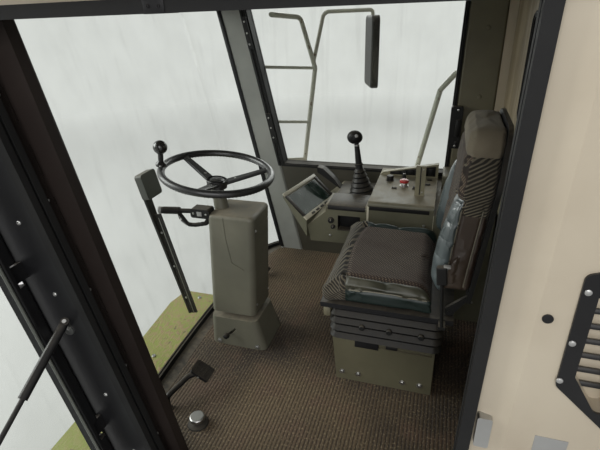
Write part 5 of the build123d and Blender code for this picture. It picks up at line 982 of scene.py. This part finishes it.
cushion = taken("seat_cushion_pad", "seat_cushion")
block_low, block_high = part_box("seat_cushion")
centre = Vector((-0.18, DRIVER_Y, 0.632))
for vert in cushion.data.vertices:
    vert.co = centre + Vector((a * b for a, b in zip(vert.co - centre, (0.955, 0.955, 0.86))))
stuffed(cushion, (block_low[0] + 0.001, block_low[1], block_low[2] + 0.0004),
        (block_high[0] + 0.004, block_high[1] + 0.002, block_high[2] + 0.006))
divided(cushion)
NOSE_SEAM, ROLL, PANEL_SEAM = -0.082, 0.190, 0.646


def cushion_shape(point, normal):
    """Seams, side rolls, the worn hollow and small puckers of the cushion."""
    aside = abs(point.y - DRIVER_Y)
    shift = 0.0
    if normal.z > 0.15 and point.z > 0.63:
        if point.x < NOSE_SEAM + 0.02:
            shift += seam(aside - ROLL, 0.016, 0.009)
            shift += 0.006 * max(0.0, 1 - ((aside - 0.222) / 0.028) ** 2)
        if aside < ROLL + 0.012:
            shift += seam(point.x - NOSE_SEAM - 0.02 * (1 - (aside / 0.2) ** 2), 0.014, 0.006)
        shift -= 0.007 * max(0.0, 1 - (aside / 0.17) ** 2) * max(0.0, 1 - ((point.x + 0.21) / 0.14) ** 2)
        shift += 0.0016 * noise.noise(point * 18)
    if abs(normal.y) > 0.5 and point.x < NOSE_SEAM:
        shift += seam(point.z - PANEL_SEAM, 0.010, 0.005)
    if abs(normal.y) > 0.5:
        shift += seam(point.x - NOSE_SEAM, 0.010, 0.004) + 0.0014 * noise.noise(point * 22)
    return shift


moved_points(cushion, cushion_shape)


def cushion_cloth(point, normal):
    """0 nose, 1 middle, 2 the near roll in the olive painted highlight, 3 side panels and the far roll."""
    aside = point.y - DRIVER_Y
    if point.x > NOSE_SEAM + 0.02 * max(0.0, 1 - (aside / 0.2) ** 2) or point.z < 0.600 and abs(normal.y) < 0.5:
        return 0
    if abs(aside) < ROLL:
        return 1
    # The near roll takes the olive painted highlight; the far roll stays green.
    return 3 if point.z < PANEL_SEAM or aside < 0 else 2


painted(cushion, cushion_cloth, nose_cloth, check_cloth, roll_painted_highlight, green_hide)
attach(cushion, "seat")
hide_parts("seat_cushion")

# Piping of the cushion. Cords covered in dark green vinyl, sewn into the seams of the rolls; the cord in the near
# side's lower seam is pale vinyl, a painted highlight.
piping = Form()
pale_piping = hide("pale_piping", (0.17, 0.155, 0.115), (0.25, 0.23, 0.17), 0.42)
SINK = 0.0002


def piped(form, pad, starts, toward, radius, index=0):
    """Piping along the places where lines from outside meet a pad, smoothed over five of them."""
    toward = Vector(toward).normalized()
    cast = [pad.ray_cast(Vector(start), toward) for start in starts]
    found = [place + toward * SINK for hit, place, normal, face in cast if hit]
    near = [found[max(0, k - 2):k + 3] for k in range(len(found))]
    form.tube([sum(each, Vector()) / len(each) for each in near], radius, index, 8)


bpy.context.view_layer.update()
steps = [k / 40 for k in range(41)]
# The near side's lower seam gets the pale cord as a painted highlight; the far side's gets the green one.
for sign in (-1, 1):
    piped(piping, cushion, [(-0.350 + 0.262 * k, DRIVER_Y + sign * 0.40, PANEL_SEAM) for k in steps],
          (0, -sign, 0), 0.0024, 0 if sign > 0 else 1)
    piped(piping, cushion, [(-0.345 + 0.257 * k, DRIVER_Y + sign * ROLL, 0.9) for k in steps], (0, 0, -1),
          0.0018, 1)
piping.make("cushion_piping", "seat", "seat_fabric", pale_piping, green_hide)

# Backrest. Foam on a black shell under a sewn cover: fine check between two glossy grey-green side
# bolsters, slanted-line cloth round the shoulders, a plain sand-coloured head end, and a brown
# panel edged with pale piping on each flank.
glossy_hide = hide("glossy_hide", (0.040, 0.054, 0.056), (0.115, 0.140, 0.145), 0.24, 0.6)
brown_hide = hide("brown_hide", (0.042, 0.027, 0.018), (0.085, 0.060, 0.042), 0.48)
sand_cloth = fabric("sand_cloth", (0.155, 0.130, 0.092), (0.205, 0.175, 0.125), (0.115, 0.095, 0.066),
                    (0.5, 0.5, 0.7), 0.5)
dress(black_plastic, "backrest_shell")


def back_front(z):
    """X of the backrest's sloping front at a height."""
    return -0.360 - 0.105 * (z - 0.676)


back = taken("backrest_cover", "backrest_pad")
block_low, block_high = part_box("backrest_pad")
centre = Vector((-0.430, DRIVER_Y, 0.924))
for vert in back.data.vertices:
    forward = vert.co.x - back_front(vert.co.z) > -0.04
    vert.co = centre + Vector((a * b for a, b in zip(vert.co - centre, (1.0, 0.955, 0.975))))
    vert.co.x += -0.007 if forward else 0.003
stuffed(back, (block_low[0] + 0.0005, block_low[1] - 0.001, block_low[2] + 0.0005),
        (block_high[0] + 0.008, block_high[1] + 0.002, block_high[2] + 0.004))
divided(back)
BOLSTER, BOLSTER_TOP, HEAD_SEAM = 0.145, 0.975, 1.085


def back_shape(point, normal):
    """Seams, side bolsters, the worn hollow and small puckers of the backrest."""
    aside = abs(point.y - DRIVER_Y)
    depth = back_front(point.z) - point.x
    shift = 0.0
    if normal.x > 0.2 and depth < 0.045:
        tall = max(0.0, min(1.0, (BOLSTER_TOP - point.z) / 0.05))
        shift += seam(aside - BOLSTER, 0.016, 0.008) * tall
        shift += seam(point.z - BOLSTER_TOP, 0.014, 0.006) * (1 if aside > BOLSTER - 0.012 else 0)
        swell = max(0.0, 1 - ((aside - 0.192) / 0.046) ** 2) * max(0.0, 1 - ((point.z - 0.80) / 0.17) ** 2)
        shift += 0.024 * swell
        shift -= 0.008 * max(0.0, 1 - (aside / 0.14) ** 2) * max(0.0, 1 - ((point.z - 0.85) / 0.16) ** 2)
        shift += seam(point.z - 0.845, 0.012, 0.005) * (1 if aside < BOLSTER - 0.01 else 0)
    if depth < 0.085 and normal.x > -0.5:
        shift += seam(point.z - HEAD_SEAM, 0.013, 0.006)
    if abs(normal.y) > 0.5 and point.z < BOLSTER_TOP:
        shift += seam(depth - 0.016, 0.008, 0.004) + seam(depth - 0.072, 0.008, 0.003)
    return shift + 0.0013 * noise.noise(point * 20)


moved_points(back, back_shape)


def back_cloth(point, normal):
    """0 middle, 1 shoulders, 2 head end, 3 bolsters, 4 flanks."""
    aside = abs(point.y - DRIVER_Y)
    depth = back_front(point.z) - point.x
    if point.z > HEAD_SEAM:
        return 2
    if depth < 0.016 and aside > BOLSTER and point.z < BOLSTER_TOP:
        return 3
    if depth >= 0.016 and aside > 0.20 and point.z < 0.93:
        return 4
    return 0 if normal.x > 0.55 and depth < 0.06 else 1


painted(back, back_cloth, check_cloth, line_cloth, sand_cloth, glossy_hide, brown_hide)
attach(back, "backrest")
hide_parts("backrest_pad")
bpy.context.view_layer.update()
back_piping = Form()
for sign in (-1, 1):
    for depth in (0.016, 0.072):
        starts = [(back_front(0.676 + 0.265 * k) - depth, DRIVER_Y + sign * 0.5, 0.690 + 0.265 * k) for k in steps]
        piped(back_piping, back, starts, (0, -sign, 0), 0.0023)
    piped(back_piping, back, [(-0.2, DRIVER_Y + sign * BOLSTER, 0.690 + 0.28 * k) for k in steps], (-1, 0, 0),
          0.0016, 1)
piped(back_piping, back, [(-0.2, -0.125 + 0.37 * k, HEAD_SEAM) for k in steps], (-1, 0, 0), 0.0016, 1)
back_piping.make("backrest_piping", "backrest", "seat_fabric", pale_piping, green_hide)

# Seat belt's buckle. A black moulding on a steel cable stem, with a pale release button and the
# slot for the tongue.
dress(black_plastic, "belt_buckle")
buckle = Form()
buckle.box((-0.392, 0.3165, 0.7915), (-0.372, 0.3315, 0.7985), 0.0025)
buckle.make("buckle_button", "seat", "lining_vinyl", label_grey)

# Console beside the seat. Grained olive mouldings over a steel cabinet, with a black palm rest, a
# dark pocket and two turning knobs facing the driver, and pale edging on its front corner.
console_olive = coated("console_olive", (0.100, 0.096, 0.062), 0.46, 0.35, 900.0, 0.6)
dress(console_olive, "console_front", "console_cabinet")
edge_pale = coated("edge_pale", (0.52, 0.49, 0.38), 0.36, 0.2, 500.0, 0.3)
console = Form()
console.box((-0.0625, -0.4015, 0.6655), (0.1212, -0.2486, 0.6992), 0.0140)
console.box((-0.0620, -0.6380, 0.6630), (0.1170, -0.4030, 0.6658), 0.0008)
console.box((-0.3120, -0.2505, 0.6900), (-0.0640, -0.2490, 0.7075), 0.0006)
console.box((-0.0675, -0.2505, 0.5850), (-0.0590, -0.2482, 0.7050), 0.0010, 1)
console.box((-0.0310, -0.2915, 0.5812), (0.0650, -0.2900, 0.6508), 0.0003)
for a, b in edging(-0.0318, 0.5802, 0.0658, 0.6518, 0.0012):
    console.box((a[0], -0.2910, a[1]), (b[0], -0.2494, b[1]), 0.0002)
for x, z, radius in ((0.096, 0.626, 0.011), (0.087, 0.596, 0.007)):
    console.turned([(radius + 0.0035, 0.0), (radius + 0.003, 0.0015), (radius + 0.0006, 0.002),
                    (radius + 0.0005, 0.0115), (radius - 0.001, 0.0128), (0, 0.0130)], (x, -0.250, z), LEFT)
    console.box((x - 0.0006, -0.2378, z), (x + 0.0006, -0.2366, z + radius * 0.9), 0.0002, 1)
for x, z in ((-0.045, 0.552), (0.10, 0.552), (-0.295, 0.300), (-0.095, 0.300), (-0.295, 0.640), (-0.52, 0.30),
             (-0.52, 0.64)):
    console.screw((x, -0.2501, z), LEFT, 0.0055, 2)
console.box((-0.3305, -0.2512, 0.2100), (-0.3290, -0.2490, 0.6880), 0.0005, 1)
console.box((-0.540, -0.5508, 0.6960), (-0.372, -0.5488, 0.7230), 0.0008)
console.make("console_trim", "cab", "black_plastic", black_plastic, edge_pale, steel)

# Terminal. A dark green display behind glass in a black bezel whose upper and lower bars are pale,
# a painted highlight of their lit edges, with a row of blank keys at its side, under a black hood.
screen_glass, wire, shader = material("screen_glass")
put(wire, shader, Base_Color=wire.tint(wire.noise(6.0, 4.0), (0.010, 0.024, 0.016), (0.018, 0.036, 0.026)),
    Roughness=wire.ramp(wire.noise(18.0, 6.0), (0.45, 0.10), (0.75, 0.34)),
    Normal=wire.bump(wire.noise(160.0, 2.0), 0.03, 0.0005))
shader.inputs["Coat Weight"].default_value = 0.6
dress(screen_glass, "monitor")
near, far = Vector((0.210, -0.252, 0.619)), Vector((0.148, -0.525, 0.619))
rise = Vector((0.112, -0.038, 0.090))
across, tall = (far - near).normalized(), rise.normalized()
face_out = tall.cross(across) if tall.cross(across).z > 0 else across.cross(tall)
width, height = (far - near).length, rise.length
terminal = Form()


def on_screen(u, v, lift=0.0):
    """A point on the terminal's face, from its near lower corner."""
    return near + across * u + tall * v + face_out * lift


def screen_bar(u0, u1, v0, v1, lift, thick, soft, index):
    """A flat bar on the terminal's face."""
    terminal.plate([on_screen(u0, v0, lift), on_screen(u1, v0, lift), on_screen(u1, v1, lift),
                    on_screen(u0, v1, lift)], face_out * thick, soft, index)


# The upper and lower bars take the pale finish as a painted highlight of their lit edges; the side bars are black.
screen_bar(-0.007, width + 0.007, -0.007, 0.014, 0.0002, 0.0045, 0.0018, 1)
screen_bar(-0.007, width + 0.007, height - 0.010, height + 0.007, 0.0002, 0.0040, 0.0018, 1)
screen_bar(-0.007, 0.014, 0.0145, height - 0.0105, 0.0002, 0.0040, 0.0018, 0)
screen_bar(width - 0.012, width + 0.007, 0.0145, height - 0.0105, 0.0002, 0.0040, 0.0018, 0)
for step in range(5):
    u = 0.052 + step * 0.042
    screen_bar(u, u + 0.026, -0.0035, 0.0065, 0.0045, 0.0016, 0.0006, 0)
terminal.make("terminal_bezel", "cab", "black_plastic", black_plastic, edge_pale)
hood = Form()
hood.plate([(x, -0.5306, z) for x, z in ((0.2318, 0.7405), (0.2322, 0.7656), (0.2048, 0.7596), (0.1530, 0.7134),
                                         (0.1172, 0.6655), (0.0590, 0.6655), (0.0590, 0.6630), (0.1190, 0.6630))],
           (0, -0.0488, 0), 0.0012)
rim = [(0.231, 0.742), (0.231, 0.764), (0.205, 0.758), (0.154, 0.712), (0.118, 0.664)]
for y in (-0.5320, -0.5780):
    hood.tube([(x, y, z) for x, z in rim], 0.0028, sides=8)
for share in (0.25, 0.5, 0.75):
    hood.tube([(x + 0.0005, -0.532 - 0.046 * share, z + 0.0008) for x, z in rim[1:]], 0.0012, sides=6)
hood.make("hood_edging", "cab", "black_plastic", black_plastic)

# Switches of the cabinet. An upright cream panel with a dark inset strip of blank rockers, a red
# mushroom button in a bright collar, black knobs, and a cream post.
panel_cream = coated("panel_cream", (0.235, 0.215, 0.140), 0.42, 0.25, 700.0, 0.4)
red_cap = coated("red_cap", (0.36, 0.012, 0.016), 0.32, 0.05, 400.0, 0.25, coat=0.3)
dress(panel_cream, "switch_panel")
switches = Form()
switches.plate([(-0.110, -0.5996, 0.7310), (-0.318, -0.5996, 0.7310), (-0.318, -0.5996, 0.7800),
                (-0.110, -0.5996, 0.7430)], (0, 0.0016, 0), 0.0006)
for step in range(6):
    x = -0.142 - step * 0.031
    switches.box((x - 0.010, -0.5985, 0.7345), (x + 0.010, -0.5945, 0.7450 + 0.0045 * step), 0.0012)
CABINET_TOP = 0.725
for x, y, radius, top in ((-0.119, -0.531, 0.015, 0.022), (-0.180, -0.557, 0.008, 0.026),
                          (-0.236, -0.440, 0.007, 0.012)):
    switches.turned([(radius + 0.004, 0.0002), (radius + 0.0035, 0.003), (radius + 0.0008, 0.0035),
                     (radius + 0.0008, top - 0.003), (radius - 0.001, top + 0.0008), (0, top + 0.0012)],
                    (x, y, CABINET_TOP), UP)
stop_place = (-0.189, -0.467, CABINET_TOP)
switches.turned([(0.020, 0.0002), (0.0195, 0.004), (0.0150, 0.006), (0.0138, 0.015), (0.0134, 0.016)],
                stop_place, UP, 2)
switches.turned([(0.0134, 0.015), (0.0190, 0.018), (0.0205, 0.022), (0.0190, 0.028), (0.0120, 0.0318), (0, 0.0330)],
                stop_place, UP, 1)
for x, y in ((-0.150, -0.430), (-0.290, -0.500), (-0.295, -0.560)):
    switches.box((x - 0.011, y - 0.006, 0.7248), (x + 0.011, y + 0.006, 0.7310), 0.002)
switches.box((-0.2640, -0.3638, 0.730), (-0.2600, -0.3628, 0.852), 0.0003)
for z in (0.742, 0.842):
    switches.screw((-0.272, -0.3641, z), LEFT, 0.003, 2)
switches.make("switch_caps", "cab", "black_plastic", black_plastic, red_cap, steel)

# Drive lever. A soft rubber boot in folds on its screwed plate, a black shaft and a moulded grip
# with a seam round it and a pale thumb button.
dress(black_plastic, "drive_lever")
lever = Form()
LEVER_Y = -0.470
lean = Matrix.Translation((0, LEVER_Y, 0.664)) @ Matrix.Rotation(radians(7), 4, "Y")
lever_turn = lean.to_3x3()
lever_up = lever_turn @ Vector(UP)
lever.turned([(0.0165, 0.146), (0.0185, 0.148), (0.0185, 0.153), (0.0160, 0.155)], lean.translation, lever_up)
lever.turned([(0.0112, 0.236), (0.0128, 0.238), (0.0128, 0.2425), (0.0108, 0.244)], lean.translation, lever_up, 1)
grip = lean @ Vector((0.005, 0, 0.2755))
lever.tube([grip + lever_turn @ Vector((0.0340 * cos(a), 0, 0.0300 * sin(a))) for a in around], 0.0010, 0, 6, True)
lever.turned([(0.0075, -0.002), (0.0075, 0.002), (0.006, 0.0035), (0, 0.0038)],
             grip + lever_turn @ Vector((-0.012, 0.0195, 0.010)), (-0.2, 1, 0.25), 2, 20)
for dx, dy in product((-0.047, 0.047), repeat=2):
    lever.screw((dx, LEVER_Y + dy, 0.6700), UP, 0.0045, 1)
lever.make("lever_trim", "cab", "black_plastic", black_plastic, steel, label_grey)

# Grab rail and mirror outside the right wall. Bent steel tubes in pale paint, rusty where it has
# chipped, on plates bolted to the pillar. The mirror hangs in a black moulded head.
rail_paint, wire, shader = material("rail_paint")
chips = wire.patches(55.0, 7.0, 0.64, 0.67)
put(wire, shader, Base_Color=wire.tint(chips * 0.8, wire.tint(wire.noise(7.0, 5.0), (0.50, 0.49, 0.43),
                                                              (0.62, 0.61, 0.54)), (0.13, 0.06, 0.035)),
    Roughness=chips * 0.4 + 0.34, Normal=wire.bump(chips, -0.4, 0.0006))
dress(rail_paint, "grab_rail", "mirror_mast")
dress(black_plastic, "mirror_head")
plates = Form()
for z in (1.200, 0.920, 0.710):
    for dx in (-0.015, 0.015):
        plates.bolt((raked(0.4465, z) + dx, -0.7705, z + dx * 0.2), RIGHT, 0.0035)
for x, z in ((-0.190, 0.470), (-0.430, 1.190)):
    plates.turned([(0.0135, 0.0002), (0.030, 0.0002), (0.029, 0.004), (0.016, 0.005), (0.0135, 0.012)],
                  (x, -0.765, z), RIGHT, 1)
plates.make("rail_plates", "cab", "steel", steel, rail_paint)
mirror_silver, wire, shader = material("mirror_silver")
put(wire, shader, Base_Color=wire.tint(wire.noise(8.0, 5.0), (0.66, 0.68, 0.68), (0.74, 0.75, 0.75)), Metallic=1.0,
    Roughness=wire.ramp(wire.noise(22.0, 6.0), (0.5, 0.05), (0.8, 0.22)))
mirror = Form()
turned_head = Matrix.Translation((0.077, -1.110, 1.235)) @ Matrix.Rotation(radians(20), 4, "Z")
face = [turned_head @ Vector((-0.0168, y, z)) for y, z in rounded(0.068, 0.148, 0.021)]
mirror.plate(face, turned_head.to_3x3() @ Vector((0.0014, 0, 0)), 0.0)
mirror.make("mirror_face", "cab", "steel", mirror_silver)

# Studio floor. A pale matt sheet that keeps the cab's shadow. Away from the cab it takes on the
# colour of the surround, so that no horizon shows.
ground = bmesh.new()
bmesh.ops.create_grid(ground, x_segments=1, y_segments=1, size=14.0)
floor_mesh = bpy.data.meshes.new("studio_floor")
ground.to_mesh(floor_mesh)
ground.free()
floor = bpy.data.objects.new("studio_floor", floor_mesh)
scene.collection.objects.link(floor)
pale, wire, shader = material("studio_floor")
put(wire, shader, Base_Color=wire.tint(wire.noise(2.0), (0.52, 0.52, 0.51), (0.56, 0.56, 0.55)), Roughness=0.8)
straight = wire.node("LightPath", out="Is Camera Ray")
for kind in ("Is Glossy Ray", "Is Transmission Ray"):
    straight = wire.math("MAXIMUM", straight, wire.node("LightPath", out=kind))
away = wire.node("VectorMath", {"operation": "LENGTH"}, out="Value", i0=wire.spot())
share = straight * wire.ramp(away * 0.1, (0.16, 0.30), (0.70, 1.0))
lifted = wire.node("MixShader", i0=share, i1=Wire(wire.tree, shader.outputs[0]),
                   i2=wire.node("Emission", Color=SURROUND, Strength=1.0))
wire.tree.links.new(lifted.socket, wire.tree.nodes["Material Output"].inputs["Surface"])
finish(floor, pale)
